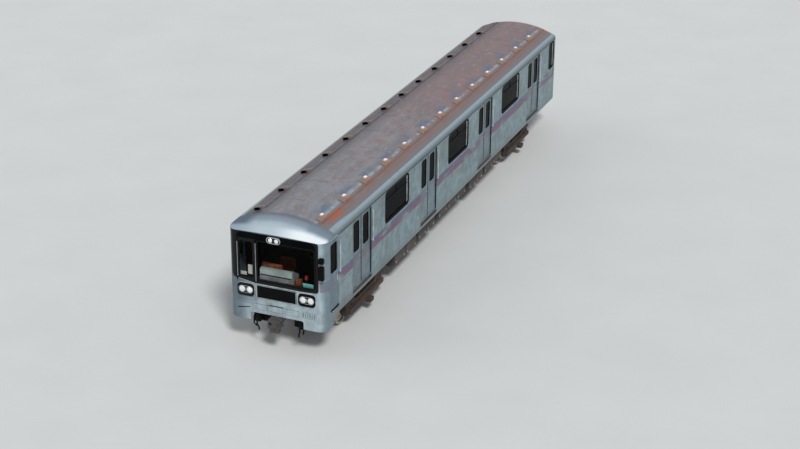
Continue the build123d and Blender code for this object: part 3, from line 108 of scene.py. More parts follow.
class Graph:
    """A node tree under construction."""

    def __init__(self, tree: bpy.types.NodeTree) -> None:
        """Start from an empty tree."""
        self.tree = tree
        tree.nodes.clear()

    def add(self, kind: str, settings: dict | None = None, inputs: dict | None = None,
            out: int | str = 0) -> Wire:
        """Add any node.

        Args:
            kind: the node's type name.
            settings: attributes that are set first; "stops" fills a colour ramp.
            inputs: socket index or name to a value or a Wire.
            out: the output that is returned.

        Returns:
            The chosen output, or the first input of a node that has no outputs.
        """
        node = self.tree.nodes.new(kind)
        for name, value in (settings or {}).items():
            if name == "stops":
                for place, colour in value:
                    node.color_ramp.elements.new(place).color = colour
                for _ in range(2):
                    node.color_ramp.elements.remove(node.color_ramp.elements[0])
            else:
                setattr(node, name, value)
        for name, value in (inputs or {}).items():
            if isinstance(value, Wire):
                self.tree.links.new(value.socket, node.inputs[name])
            else:
                node.inputs[name].default_value = value
        return Wire(self, node.outputs[out] if node.outputs else node.inputs[0])

    def math(self, operation: str, a: Value, b: Value = 0.0, clamp: bool = False) -> Wire:
        """One Math node."""
        return self.add("ShaderNodeMath", {"operation": operation, "use_clamp": clamp}, {0: a, 1: b})

    def coords(self, stretch: Point = (1, 1, 1)) -> Wire:
        """Object coordinates in metres, stretched along each axis."""
        base = self.add("ShaderNodeTexCoord", out="Object")
        return self.add("ShaderNodeVectorMath", {"operation": "MULTIPLY"}, {0: base, 1: stretch})

    def axes(self) -> tuple[Wire, Wire, Wire]:
        """X, Y and Z of the object coordinates."""
        split = self.add("ShaderNodeSeparateXYZ", inputs={0: self.add("ShaderNodeTexCoord", out="Object")})
        return split, split.other("Y"), split.other("Z")

    def noise(self, scale: float, detail: float = 3.0, stretch: Point = (1, 1, 1),
              rough: float = 0.55) -> Wire:
        """Fractal noise from 0 to 1."""
        return self.add("ShaderNodeTexNoise", None, {"Vector": self.coords(stretch), "Scale": scale,
                                                     "Detail": detail, "Roughness": rough}, "Fac")

    def step(self, value: Value, low: float, high: float) -> Wire:
        """Smooth step from 0 at low to 1 at high."""
        return self.add("ShaderNodeMapRange", {"interpolation_type": "SMOOTHSTEP"},
                        {"Value": value, "From Min": low, "From Max": high}, "Result")

    def band(self, value: Value, low: float, high: float, soft: float) -> Wire:
        """1 between low and high, fading to 0 over a soft edge."""
        return self.step(value, low - soft, low + soft) * self.step(value, high + soft, high - soft)

    def outline(self, a: Wire, b: Wire, u: Sequence[float], v: Sequence[float], radius: float) -> Wire:
        """Distance out of a rounded rectangle over a and b, negative inside it."""
        far_a = abs(a - (u[0] + u[1]) / 2) - ((u[1] - u[0]) / 2 - radius)
        far_b = abs(b - (v[0] + v[1]) / 2) - ((v[1] - v[0]) / 2 - radius)
        out_a, out_b = self.math("MAXIMUM", far_a, 0.0), self.math("MAXIMUM", far_b, 0.0)
        within = self.math("MINIMUM", self.math("MAXIMUM", far_a, far_b), 0.0)
        return self.math("SQRT", out_a * out_a + out_b * out_b) + within - radius

    def cycle(self, value: Wire, start: float, pitch: float) -> Wire:
        """Place within a repeat, from 0 to 1, that grows towards smaller values."""
        return self.math("FRACT", (start - value) / pitch + 64.0)

    def mix(self, share: Value, a: "Value | tuple", b: "Value | tuple") -> Wire:
        """Colour mix from a to b."""
        return self.add("ShaderNodeMix", {"data_type": "RGBA"}, {0: share, 6: a, 7: b}, 2)

    def bump(self, height: Wire, depth: float) -> Wire:
        """Normal from a height in units of depth metres."""
        return self.add("ShaderNodeBump", None, {"Height": height, "Distance": depth, "Strength": 0.8})


def rgb(colour: Colour, shade: float = 1.0) -> tuple[float, float, float, float]:
    """Linear colour from display values.

    Args:
        colour: red, green and blue from 0 to 255.
        shade: factor on the display values.

    Returns:
        Red, green, blue and alpha for a socket.
    """
    display = [min(1.0, max(0.0, c * shade / 255)) for c in colour]
    return tuple(c / 12.92 if c <= 0.04045 else ((c + 0.055) / 1.055) ** 2.4 for c in display) + (1.0,)


# Finishes
@dataclass(frozen=True)
class Finish:
    """A surface with mottled colour, uneven gloss and fine bumps."""

    name: str
    base: Colour
    rough: float = 0.5
    metal: float = 0.0
    mottle: float = 0.12
    scale: float = 5.0
    grain: float = 90.0
    depth: float = 0.0006
    coat: float = 0.0
    shine: float = 0.5

    def tint(self, g: Graph) -> Wire:
        """Colour over the surface."""
        cloud = g.noise(self.scale, 5)
        return g.mix(g.step(cloud, 0.3, 0.7), rgb(self.base, 1 - self.mottle),
                     rgb(self.base, 1 + self.mottle * 0.6))

    def height(self, g: Graph) -> Wire:
        """Relief over the surface, in units of depth."""
        return g.noise(self.grain, 2)

    def gloss(self, g: Graph) -> Wire:
        """Roughness over the surface."""
        return g.noise(self.scale * 3, 3) * 0.25 + (self.rough - 0.12)

    def finish_shader(self, g: Graph, shader: Wire) -> None:
        """Hook for sockets that only some finishes use."""

    def material(self) -> bpy.types.Material:
        """The Blender material, built once."""
        found = bpy.data.materials.get(self.name)
        if found:
            return found
        made = bpy.data.materials.new(self.name)
        made.use_nodes = True
        g = Graph(made.node_tree)
        inputs = {"Base Color": self.tint(g), "Roughness": self.gloss(g), "Metallic": self.metal,
                  "Normal": g.bump(self.height(g), self.depth), "Coat Weight": self.coat,
                  "Coat Roughness": 0.15, "Specular IOR Level": self.shine}
        shader = g.add("ShaderNodeBsdfPrincipled", None, inputs)
        self.finish_shader(g, shader)
        g.add("ShaderNodeOutputMaterial", None, {"Surface": shader})
        return made


@dataclass(frozen=True)
class Weathered(Finish):
    """Paint with dribbled dirt and rust that grows towards the foot."""

    dirt: Colour = (72, 70, 66)
    dirt_share: float = 0.35
    rust: Colour = (112, 66, 44)
    rust_share: float = 0.25

    def worn(self, g: Graph, paint: Wire) -> Wire:
        """Lay dirt and rust over a paint colour."""
        streak = g.step(g.noise(7, 4, (1, 1, 0.07)), 0.48, 0.72)
        smudge = g.step(g.noise(0.9, 6, (0.7, 0.7, 1.3)), 0.42, 0.66)
        dirty = g.mix(g.math("MULTIPLY", streak * 0.55 + smudge * 0.6, self.dirt_share, True), paint,
                      rgb(self.dirt))
        spots = g.step(g.noise(3.1, 9, (1, 1, 0.8), 0.7), 0.6, 0.68)
        return g.mix(spots * self.rust_share, dirty, rgb(self.rust))

    def tint(self, g: Graph) -> Wire:
        """Mottled paint under dirt and rust."""
        return self.worn(g, super().tint(g))


class Stripe(Enum):
    """Height range of a painted stripe over the plane under the wheels, and its colour."""

    BLUE = (2.068, 2.150, (64, 74, 122))
    RED = (1.872, 2.068, (104, 66, 92))


@dataclass(frozen=True)
class SidePaint(Weathered):
    """Body side: faded stripes under the windows, grime at the sill, lining colour on the inner face, with painted
    shade on the lining inside the cab.
    """

    inner: Colour = (168, 160, 138)
    cab_painted_shade: Colour = (70, 62, 54)
    grime_share: float = 0.5
    stripe_share: float = 0.9
    stripe_from_y: float = 1.18

    def tint(self, g: Graph) -> Wire:
        """Paint, stripes, dirt and the inner lining colour, dark with painted shade inside the cab."""
        x, y, z = g.axes()
        outside = abs(y)
        paint = g.mix(g.step(g.noise(self.scale, 5), 0.3, 0.7), rgb(self.base, 0.9), rgb(self.base, 1.08))
        worn_off = g.step(g.noise(3.2, 7, (0.5, 1, 1.6)), 0.68, 0.50)
        for stripe in Stripe:
            low, high, colour = stripe.value
            share = g.band(z, low, high, 0.006) * g.step(outside, self.stripe_from_y,
                                                         self.stripe_from_y + 0.03)
            paint = g.mix(share * worn_off * self.stripe_share, paint, rgb(colour))
        patch = g.band(x, 7.76, 8.5, 0.03) * g.band(z, 1.26, 1.72, 0.07) * 0.55
        coated = self.worn(g, g.mix(patch, paint, rgb((142, 162, 167))))
        grime = g.step(z, 1.35, 1.02) * g.step(g.noise(5, 5), 0.3, 0.7)
        coated = g.mix(grime * self.grime_share, coated, rgb((78, 72, 66)))
        lining = g.mix(g.noise(4, 3), rgb(self.inner, 0.85), rgb(self.inner, 1.05))
        # painted shade: the lining turns dark inside the cab, forward of the bulkhead
        lining = g.mix(g.step(x, 7.76, 7.78), lining, rgb(self.cab_painted_shade))
        inside = g.step(outside, 1.268, 1.262) * g.step(x, 9.12, 9.10) * g.step(x, -9.37, -9.36)
        return g.mix(inside, coated, lining)


@dataclass(frozen=True)
class FrontPaint(SidePaint):
    """Front end: the black of the mask runs on over the wall and the corners beside it; painted shade darkens the
    rounded left corner, the right half above the apron and, most, the right corner.
    """

    mask_y: tuple[float, float] = (-1.26, 1.165)
    mask_z: tuple[float, float] = up(1.785, 3.205)
    mask_radius: float = 0.12
    raised_black: bool = False

    def tint(self, g: Graph) -> Wire:
        """The side's paint with painted shade at the corners and on the right, black inside the mask's outline and
        on a raised bezel.
        """
        x, y, z = g.axes()
        lifted = z - g.math("MAXIMUM", (y + 0.62) * -0.15, 0.0)
        inside = g.step(g.outline(y, lifted, self.mask_y, self.mask_z, self.mask_radius), 0.004, -0.004)
        black = inside * g.step(x, 9.29, 9.30)
        if self.raised_black:
            black = g.math("MAXIMUM", black, g.step(x, 9.386, 9.3865))
        # painted shade: darker where the front rounds into the left side, over the right half above the apron, and
        # most at the right corner
        paint = g.mix(g.step(y, 1.20, 1.32) * 0.8, super().tint(g), rgb((96, 112, 121)))
        paint = g.mix(g.step(y, -0.3, -0.75) * g.step(z, 1.16 + LIFT, 1.24 + LIFT) * 0.5, paint,
                      rgb((120, 135, 143)))
        paint = g.mix(g.step(y, -0.72, -1.08) * 0.75, paint, rgb((74, 88, 99)))
        return g.mix(black, paint, rgb((11, 12, 13)))


@dataclass(frozen=True)
class RoofPaint(Weathered):
    """Roof: grey with rust on the crown and painted shade on its right half, brown outside the vents, painted
    shadows and highlights round the vents, turquoise eaves with painted shade low down, and a painted highlight on
    the rim of the domed front.
    """

    back: Colour = (123, 103, 104)
    shade: Colour = (58, 54, 59)
    pale: Colour = (134, 150, 158)
    brown: Colour = (114, 93, 88)
    orange: Colour = (150, 80, 54)
    vent_pitch: float = 1.37
    first_vent: float = 8.51

    def place(self, g: Graph, x: Wire, y: Wire) -> Wire:
        """Share of the way from one vent's middle, past its mouth, to the next vent's."""
        left = g.step(y, -0.01, 0.01)
        return g.cycle(x, self.first_vent, self.vent_pitch) * (left * 2.0 - 1.0) + (1.0 - left)

    def crown(self, g: Graph, x: Wire, y: Wire) -> Wire:
        """Blotchy grey that browns towards the rear and darkens to the right with painted shade, with seams
        between the sheets.
        """
        grey = g.mix(g.step(x + g.noise(0.35, 3) * 6.0, 9.5, 0.0), rgb(self.base), rgb(self.back))
        # painted shade over the right half of the roof
        grey = g.mix(g.step(y, -0.2, -0.95) * 0.88, grey, rgb(self.shade))
        cloud = g.step(g.noise(2.2, 8, (0.55, 1.5, 1), 0.62), 0.38, 0.62)
        grey = g.mix(cloud * 0.5, grey, rgb(self.base, 0.76))
        rusty = g.step(g.noise(3.4, 10, (0.8, 1.2, 1), 0.72), 0.53, 0.62)
        grey = g.mix(rusty * 0.6, grey, rgb(self.rust))
        bright = g.step(g.noise(7.5, 8, (0.5, 1, 1), 0.7), 0.56, 0.68)
        grey = g.mix(bright * 0.45, grey, rgb((158, 158, 160)))
        seam = g.band(g.cycle(x, self.first_vent, self.vent_pitch), 0.49, 0.51,
                      0.008) * g.step(g.noise(3, 4), 0.4, 0.6)
        return g.mix(seam * 0.7, grey, rgb((62, 54, 56)))

    def tint(self, g: Graph) -> Wire:
        """Bands along the roof, rust patches, painted shadows and painted highlights round each vent, and the
        domed front.
        """
        x, y, z = g.axes()
        across = abs(y)
        left = g.step(y, -0.1, 0.1)
        place = self.place(g, x, y)
        roof = self.crown(g, x, y)
        worn = g.step(g.noise(4.5, 7, (0.6, 2, 1), 0.65), 0.34, 0.58)
        # painted shadow that each vent casts inboard, bluish, stronger on the left
        vent_shadow = g.band(across, 0.56, 0.76, 0.05) * g.band(place, 0.15, 0.66,
                                                         0.12) * worn * (left * 0.6 + 0.25)
        roof = g.mix(vent_shadow, roof, rgb((80, 98, 122)))
        brown = g.step(across + g.noise(5, 5) * 0.08, 0.89,
                       0.93) * (worn * 0.3 + 0.65) * (left * 0.75 + 0.25)
        roof = g.mix(brown, roof, rgb(self.brown))
        # painted highlight along the inner edge of the vent row, a lighter copy of the eave colour, stronger on
        # the left
        ridge_highlight = g.band(across, 0.775, 0.86, 0.02) * g.band(place, 0.14, 0.86,
                                                           0.08) * g.step(g.noise(2.5, 6), 0.40, 0.60)
        roof = g.mix(ridge_highlight * (left * 0.45 + 0.1), roof, rgb(self.pale, 1.12))
        bleed = g.band(across, 0.83, 1.02, 0.03) * g.step(place, 0.80, 0.95)
        first = g.band(across, 0.93, 1.10, 0.03) * g.band(x + g.noise(4, 5) * 0.2, 7.72, 8.40, 0.1) * left
        share = g.math("MAXIMUM", bleed * worn * 0.75, first * 0.85)
        roof = g.mix(share * (left * 0.7 + 0.3), roof, rgb(self.orange))
        outer = g.step(across + g.noise(6, 5) * 0.1, 1.13, 1.19) * left
        roof = g.mix(outer * 0.7, roof, rgb((104, 104, 109)))
        # the eave's lower part is the same turquoise at 0.74: painted shade
        eave = g.mix(g.step(z, 3.28 + LIFT, 3.20 + LIFT), rgb(self.pale), rgb(self.pale, 0.74))
        eave = g.mix(g.step(g.noise(6, 5, (1, 0.3, 0.3)), 0.56, 0.72) * 0.3, eave, rgb((116, 98, 92)))
        reach = g.step(x, 7.2, 8.4) * 0.05
        roof = g.mix(g.step(across + reach + g.noise(9, 4) * 0.02, 1.225, 1.25), roof, eave)
        return self.dome(g, x, y, roof)

    def dome(self, g: Graph, x: Wire, y: Wire, roof: Wire) -> Wire:
        """Blue-grey domed front that pales down to a painted highlight along its rim, brightest at the left
        corner, with painted shade on its right corner and darker at the left corner behind the rim.
        """
        along = x + g.noise(2.2, 6) * 0.12 - 0.06 + g.step(y, 0.2, 0.6) * g.step(x, 9.08, 9.18) * 0.05
        grey = g.mix(g.step(along, 8.80, 9.02), rgb((90, 95, 104)), rgb((119, 129, 140)))
        grey = g.mix(g.step(along, 9.02, 9.20), grey, rgb((148, 163, 171)))
        # painted shade on the right corner of the dome
        dark = g.step(y, -0.62, -1.0) * g.step(x, 9.36, 9.14) * 0.85
        grey = g.mix(dark, grey, rgb((56, 70, 90)))
        dark = g.step(y + g.noise(3, 5) * 0.2, 0.75, 0.95) * g.step(x, 9.20, 9.10) * 0.6
        grey = g.mix(dark, grey, rgb((98, 112, 126)))
        # painted highlight along the rim, brightest at the left corner
        rim = g.mix(g.step(y, -0.2, 0.7), rgb((160, 173, 180)), rgb((212, 218, 220)))
        rim = g.mix(g.step(y, -0.4, -1.1), rim, rgb((132, 148, 158)))
        grey = g.mix(g.step(along, 9.18, 9.31), grey, rim)
        return g.mix(g.step(along, 8.72, 8.82), roof, grey)


@dataclass(frozen=True)
class VentPaint(Weathered):
    """Hood of a roof vent: roof colour on the low tail, a near-white painted highlight at the mouth of the left
    row, rusty on its outer flank; the right row's mouth end is the tail colour darkened, painted shade.
    """

    tail: Colour = (120, 104, 98)
    vent_pitch: float = 1.37
    first_vent: float = 8.51
    length: float = 0.30

    def tint(self, g: Graph) -> Wire:
        """Blend along the hood from the tail to the mouth end, painted highlight on the left row and painted shade
        on the right; the two rows are turned end for end.
        """
        x, y, _ = g.axes()
        left = g.step(y, -0.01, 0.01)
        along = g.cycle(x, self.first_vent + self.length / 2,
                        self.vent_pitch) * (self.vent_pitch / self.length)
        share = along * (left * 2.0 - 1.0) + (1.0 - left)
        # near-white painted highlight at the mouth end, with rust on the outer flank
        pale = g.mix(g.step(abs(y) + g.noise(14, 5) * 0.06, 0.87, 0.92), rgb(self.base), rgb(self.rust))
        # right row: the tail colour darkened, painted shade
        pale = g.mix(left, rgb(self.tail, 0.72), pale)
        return g.mix(g.step(share + g.noise(12, 4) * 0.3, 0.55, 0.95), rgb(self.tail), pale)


@dataclass(frozen=True)
class Glass(Finish):
    """Tinted pane; clearer in the front end, so that the desk shows behind it."""

    clear: float = 0.45
    front_clear: float = 0.45

    def gloss(self, g: Graph) -> Wire:
        """Nearly smooth, with dust."""
        return g.step(g.noise(3, 6), 0.45, 0.8) * 0.22 + self.rough

    def finish_shader(self, g: Graph, shader: Wire) -> None:
        """Set how much shows through."""
        x, _, _ = g.axes()
        solid = g.step(x, 9.2, 9.3) * (self.clear - self.front_clear) + (1 - self.clear)
        dust = g.step(g.noise(2.4, 6), 0.4, 0.8) * 0.12
        g.tree.links.new((solid + dust).socket, shader.socket.node.inputs["Alpha"])


@dataclass(frozen=True)
class GutterSteel(Finish):
    """Outside fittings: dark paint on the rain gutter, worn steel on the handrails."""

    gutter_z: tuple[float, float] = up(3.13, 3.148)

    def tint(self, g: Graph) -> Wire:
        """Dark where the gutter runs along the wall."""
        _, y, z = g.axes()
        gutter = g.band(z, self.gutter_z[0] - 0.004, self.gutter_z[1] + 0.004, 0.001) * g.step(abs(y),
                                                                                               1.366, 1.364)
        return g.mix(gutter, super().tint(g), rgb((50, 54, 56)))


@dataclass(frozen=True)
class Brushed(Finish):
    """Bare metal with fine lines."""

    lines: Point = (1, 1, 24)

    def height(self, g: Graph) -> Wire:
        """Lines drawn along one direction."""
        return g.noise(self.grain, 2, self.lines)


@dataclass(frozen=True)
class RollingSteel(Finish):
    """Wheel steel: bright tread, rusty disc and axle."""

    axle_height: float = 0.418
    bogie: float = 6.3
    wheelbase: float = 2.1
    tread: float = 0.372

    def tint(self, g: Graph) -> Wire:
        """Rust inside the tread's radius, polished steel outside it."""
        rust = g.mix(g.step(g.noise(9, 7), 0.35, 0.65), rgb((70, 44, 32)), rgb((118, 76, 52)))
        return g.mix(self.on_tread(g), rust, rgb(self.base))

    def on_tread(self, g: Graph) -> Wire:
        """1 on the running surface and the flange."""
        x, y, z = g.axes()
        local = abs(abs(x) - self.bogie) - self.wheelbase / 2
        high = z - self.axle_height
        radius = g.math("SQRT", local * local + high * high)
        return g.step(radius, self.tread, self.tread + 0.008) * g.step(abs(y), 0.715, 0.72)

    def finish_shader(self, g: Graph, shader: Wire) -> None:
        """Only the tread is bare metal."""
        g.tree.links.new(self.on_tread(g).socket, shader.socket.node.inputs["Metallic"])


@dataclass(frozen=True)
class Cloth(Finish):
    """Seat cover: leathercloth with fine creases."""

    def height(self, g: Graph) -> Wire:
        """Pebbled grain over soft creases."""
        cells = g.add("ShaderNodeTexVoronoi", {"feature": "DISTANCE_TO_EDGE"},
                      {"Vector": g.coords(), "Scale": self.grain}, "Distance")
        return g.math("MULTIPLY", cells, 3.0, True) + g.noise(12, 4, (1, 2.5, 1)) * 1.5


@dataclass(frozen=True)
class Lens(Finish):
    """Lamp lens with vertical flutes."""

    def height(self, g: Graph) -> Wire:
        """Flutes across the lens."""
        _, y, _ = g.axes()
        return g.math("SINE", y * 420.0) + g.noise(40, 2) * 0.3


class Coats(Enum):
    """All finishes of the car."""

    SIDE = SidePaint("side_paint", (116, 136, 142), 0.42, rust_share=0.22)
    LEAF = SidePaint("leaf_paint", (104, 121, 129), 0.42, stripe_share=0.35, rust_share=0.15,
                     inner=(150, 146, 132))
    CABDOOR = SidePaint("cab_door_paint", (98, 116, 127), 0.42, stripe_share=0.25, rust_share=0.12)
    FRONT = FrontPaint("front_paint", (154, 168, 174), 0.4, stripe_share=0.6, rust_share=0.12,
                       dirt_share=0.3, grime_share=0.1, shine=0.2)
    # base colour darker than the front's: painted shade over the emergency door
    DOOR = FrontPaint("front_door_paint", (132, 147, 154), 0.4, rust_share=0.1, dirt_share=0.3,
                      raised_black=True, shine=0.2)
    REAR = SidePaint("rear_paint", (112, 126, 132), 0.6, stripe_share=0.0, rust_share=0.6)
    ROOF = RoofPaint("roof_paint", (125, 126, 131), 0.55, rust=(128, 88, 74), depth=0.002, grain=30)
    # near-white base colour: painted highlight on the vents' mouths
    VENT = VentPaint("vent_paint", (246, 232, 226), 0.38, rust=(162, 108, 84), scale=9)
    MASK = Finish("mask_gloss_black", (9, 10, 11), 0.25, mottle=0.3, scale=2.5, shine=0.02)
    BEZEL = Finish("bezel_black", (13, 13, 15), 0.4, mottle=0.25, shine=0.05)
    # black lining inside the scoops: painted shade
    DARK = Finish("scoop_shade_black", (8, 8, 9), 0.9, mottle=0.3, shine=0.05)
    TRIM = Weathered("pale_trim", (178, 188, 190), 0.4, rust_share=0.15)
    GLASS = Glass("tinted_glass", (9, 12, 13), 0.08, mottle=0.2, depth=0.0001, clear=0.12, front_clear=0.86,
                  shine=0.015)
    RUBBER = Finish("black_rubber", (14, 14, 15), 0.65, mottle=0.25, scale=14, grain=160, depth=0.0004,
                    shine=0.12)
    ALLOY = Brushed("window_alloy", (188, 192, 194), 0.32, 0.85, mottle=0.12, grain=220, depth=0.0003)
    CHROME = Brushed("rail_chrome", (210, 212, 212), 0.16, 1.0, mottle=0.08, grain=260, depth=0.0001)
    LINING = Finish("wall_lining", (176, 168, 146), 0.5, mottle=0.08, scale=3)
    WOOD = Finish("brown_board", (124, 68, 42), 0.5, mottle=0.3, scale=8, depth=0.001)
    FLOOR = Finish("floor_cover", (92, 62, 48), 0.75, mottle=0.2, scale=30, depth=0.0008)
    UNDER = Weathered("under_dusty_black", (44, 40, 38), 0.8, rust=(98, 62, 44), rust_share=0.75,
                      dirt=(104, 90, 78), dirt_share=0.5, depth=0.002, grain=50)
    CASES = Weathered("equipment_grey", (66, 62, 60), 0.7, rust=(104, 64, 44), rust_share=0.6,
                      dirt=(110, 92, 78), dirt_share=0.5, depth=0.0015, grain=60)
    BOGIE = Weathered("bogie_rusty_black", (54, 44, 38), 0.8, rust=(112, 68, 44), rust_share=0.85,
                      dirt=(98, 82, 70), dirt_share=0.5, depth=0.002, grain=45)
    SPRING = Weathered("spring_steel", (58, 46, 40), 0.6, 0.2, rust=(118, 70, 44), rust_share=0.8)
    WHEEL = RollingSteel("wheel_steel", (160, 154, 148), 0.42, depth=0.0004)
    CAST = Weathered("cast_steel", (26, 25, 26), 0.6, 0.1, rust=(62, 44, 38), rust_share=0.5, depth=0.003,
                     grain=70, dirt=(44, 42, 40), shine=0.15)
    SEAT = Cloth("seat_leathercloth", (126, 66, 42), 0.48, mottle=0.16, grain=260, depth=0.0006)
    DESK = Weathered("desk_paint", (156, 182, 176), 0.45, rust_share=0.1, dirt_share=0.2)
    PANEL = Finish("desk_panel_grey", (146, 148, 148), 0.5, mottle=0.12)
    # its cab face takes the painted shade of the lining inside the cab
    BULKHEAD = SidePaint("bulkhead_paint", (168, 160, 138), 0.5, stripe_share=0.0, rust_share=0.0,
                         dirt_share=0.1)
    RED = Finish("signal_red", (150, 36, 28), 0.35, mottle=0.15, coat=0.3)
    TEAL = Finish("teal_sheet", (150, 255, 246), 0.5, mottle=0.05)
    BLANK = Finish("blank_card", (206, 206, 196), 0.7, mottle=0.06)
    LENS = Lens("lamp_lens", (232, 234, 230), 0.12, mottle=0.08, depth=0.001, coat=1.0)
    TAIL = Lens("tail_lens", (150, 24, 20), 0.15, depth=0.001, coat=1.0)
    HAND = GutterSteel("handrail_steel", (206, 208, 206), 0.35, 0.5, mottle=0.15, grain=200, depth=0.0002)

    def material(self) -> bpy.types.Material:
        """The finish as a Blender material."""
        return self.value.material()


# Mesh making
@dataclass(frozen=True)
class Plane3:
    """A drawing plane on the car: origin, two axes in it and the outward normal."""

    origin: Point
    u: Point
    v: Point
    n: Point

    def at(self, u: float, v: float, d: float = 0.0) -> Vector:
        """Point at u, v in the plane and d out of it."""
        return Vector(self.origin) + Vector(self.u) * u + Vector(self.v) * v + Vector(self.n) * d


def side_plane(side: int, y: float) -> Plane3:
    """Plane of a side wall at a distance from the middle; u is X and v is Z."""
    return Plane3((0, side * y, 0), (1, 0, 0), (0, 0, 1), (0, side, 0))


def end_plane(end: int, x: float) -> Plane3:
    """Plane of an end wall; u is Y and v is Z."""
    return Plane3((end * x, 0, 0), (0, 1, 0), (0, 0, 1), (end, 0, 0))


def flat_plane(z: float, up: int = 1) -> Plane3:
    """Level plane; u is X and v is Y."""
    return Plane3((0, 0, z), (1, 0, 0), (0, 1, 0), (0, 0, up))


def round_rect(u: Sequence[float], v: Sequence[float], radius: float,
               steps: int = 6) -> list[tuple[float, ...]]:
    """Rounded rectangle as a loop of points with outward normals.

    Args:
        u: low and high u.
        v: low and high v.
        radius: corner radius.
        steps: segments to a corner.

    Returns:
        Tuples of u, v, normal u, normal v.
    """
    loop = []
    corners = ((u[1], v[1], 0), (u[0], v[1], 90), (u[0], v[0], 180), (u[1], v[0], 270))
    for cu, cv, start in corners:
        centre_u = cu - radius if cu == u[1] else cu + radius
        centre_v = cv - radius if cv == v[1] else cv + radius
        for i in range(steps + 1):
            a = math.radians(start + 90 * i / steps)
            loop.append((centre_u + radius * math.cos(a), centre_v + radius * math.sin(a), math.cos(a),
                         math.sin(a)))
    return loop


class Shape:
    """A piece made of closed forms; each form takes the finish that is set when it is added."""

    def __init__(self, *coats: Coats) -> None:
        """Start empty, with the piece's finishes in order."""
        self.mesh = bmesh.new()
        self.coats = coats
        self.index = 0

    def use(self, coat: Coats) -> "Shape":
        """Give the forms that follow this finish."""
        self.index = self.coats.index(coat)
        return self

    def skin(self, rows: Sequence[Sequence[Vector]], wrap: bool = False, caps: bool = True) -> None:
        """Join closed loops of points, one after another.

        Args:
            rows: loops with the same number of points.
            wrap: join the last loop to the first.
            caps: close the first and last loop with a face.
        """
        loops = [[self.mesh.verts.new(p) for p in row] for row in rows]
        size = len(loops[0])
        made = []
        for k in range(len(loops) if wrap else len(loops) - 1):
            a, b = loops[k], loops[(k + 1) % len(loops)]
            made += [self.mesh.faces.new((a[i], a[(i + 1) % size], b[(i + 1) % size], b[i]))
                     for i in range(size)]
        if caps and not wrap:
            made += [self.mesh.faces.new(loops[0]), self.mesh.faces.new(loops[-1])]
        bmesh.ops.recalc_face_normals(self.mesh, faces=made)
        for face in made:
            face.material_index = self.index

    def plate(self, plane: Plane3, loop: Sequence[tuple[float, ...]], d: Sequence[float],
              edge: float = 0.003) -> None:
        """Plate with a broken edge from a loop of u, v and normal."""
        levels = ((d[0], edge), (d[0] + edge, 0.0), (d[1] - edge, 0.0), (d[1], edge))
        self.skin([[plane.at(u - nu * inset, v - nv * inset, h) for u, v, nu, nv in loop] for h,
                   inset in levels])

    def slab(self, plane: Plane3, u: Sequence[float], v: Sequence[float], d: Sequence[float],
             edge: float = 0.004, radius: float = 0.0, steps: int = 3) -> None:
        """Rectangular plate with broken edges, and rounded corners where a radius is given."""
        self.plate(plane, round_rect(u, v, max(radius, edge * 1.05), steps if radius else 1), d, edge)

    def block(self, x: Sequence[float], y: Sequence[float], z: Sequence[float],
              edge: float = 0.006) -> None:
        """Box with broken edges between pairs of coordinates."""
        self.slab(flat_plane(0), x, y, z, edge)

    def ring(self, plane: Plane3, loop: Sequence[tuple[float, ...]],
             section: Sequence[tuple[float, float]]) -> None:
        """Frame that follows a loop; the section is a list of outward offset and height."""
        self.skin([[plane.at(u + nu * o, v + nv * o, h) for o, h in section] for u, v, nu, nv in loop],
                  wrap=True)

    def strip(self, plane: Plane3, line: Sequence[tuple[float, float]], half: float,
              d: Sequence[float]) -> None:
        """Flat moulding that follows a line of u and v."""
        section = ((-half, d[0]), (-half, d[1]), (half, d[1]), (half, d[0]))
        self.skin([[plane.at(u, v + o, h) for o, h in section] for u, v in line])

    def turned(self, centre: Point, axis: Vector, profile: Sequence[tuple[float, float]],
               sides: int = 24) -> None:
        """Turned form; the profile is a list of radius and distance along the axis."""
        axis = axis.normalized()
        first = axis.orthogonal().normalized()
        second = axis.cross(first)
        rows = []
        for radius, reach in profile:
            angles = [2 * math.pi * i / sides for i in range(sides)]
            rows.append([Vector(centre) + axis * reach + (first * math.cos(a) + second * math.sin(a))
                         * max(radius, 1e-4) for a in angles])
        self.skin(rows)

    def tube(self, points: Sequence[Point], radius: float, sides: int = 8) -> None:
        """Round bar through a few points."""
        path = [Vector(p) for p in points]
        rows = []
        for i, point in enumerate(path):
            ahead = (path[min(i + 1, len(path) - 1)] - path[max(i - 1, 0)]).normalized()
            first = ahead.cross(Vector((0.13, 0.31, 0.94))).normalized()
            second = ahead.cross(first)
            rows.append([point + (first * math.cos(t) + second * math.sin(t)) * radius
                         for t in (2 * math.pi * k / sides for k in range(sides))])
        self.skin(rows)

    def piece(self, name: str, body: str, replaces: Sequence[str] = (),
              smooth: float = 40) -> bpy.types.Object:
        """Finish the piece and hang it on its body.

        Args:
            name: the object's name.
            body: the CAD body it rides on.
            replaces: CAD nodes it stands for.
            smooth: edges flatter than this many degrees are shaded smooth.

        Returns:
            The new object.
        """
        data = bpy.data.meshes.new(name)
        self.mesh.to_mesh(data)
        self.mesh.free()
        for coat in self.coats:
            data.materials.append(coat.material())
        return settle(name, data, body, replaces, smooth)


def settle(name: str, data: bpy.types.Mesh, body: str, replaces: Sequence[str] = (),
           smooth: float = 40) -> bpy.types.Object:
    """Make the object of a finished mesh, shade it and hang it on its body."""
    data.polygons.foreach_set("use_smooth", [True] * len(data.polygons))
    data.set_sharp_from_angle(angle=math.radians(smooth))
    made = bpy.data.objects.new(name, data)
    bpy.context.scene.collection.objects.link(made)
    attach(made, body)
    if replaces:
        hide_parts(*replaces)
    log.info("%s on %s: %d faces", name, body, len(data.polygons))
    return made


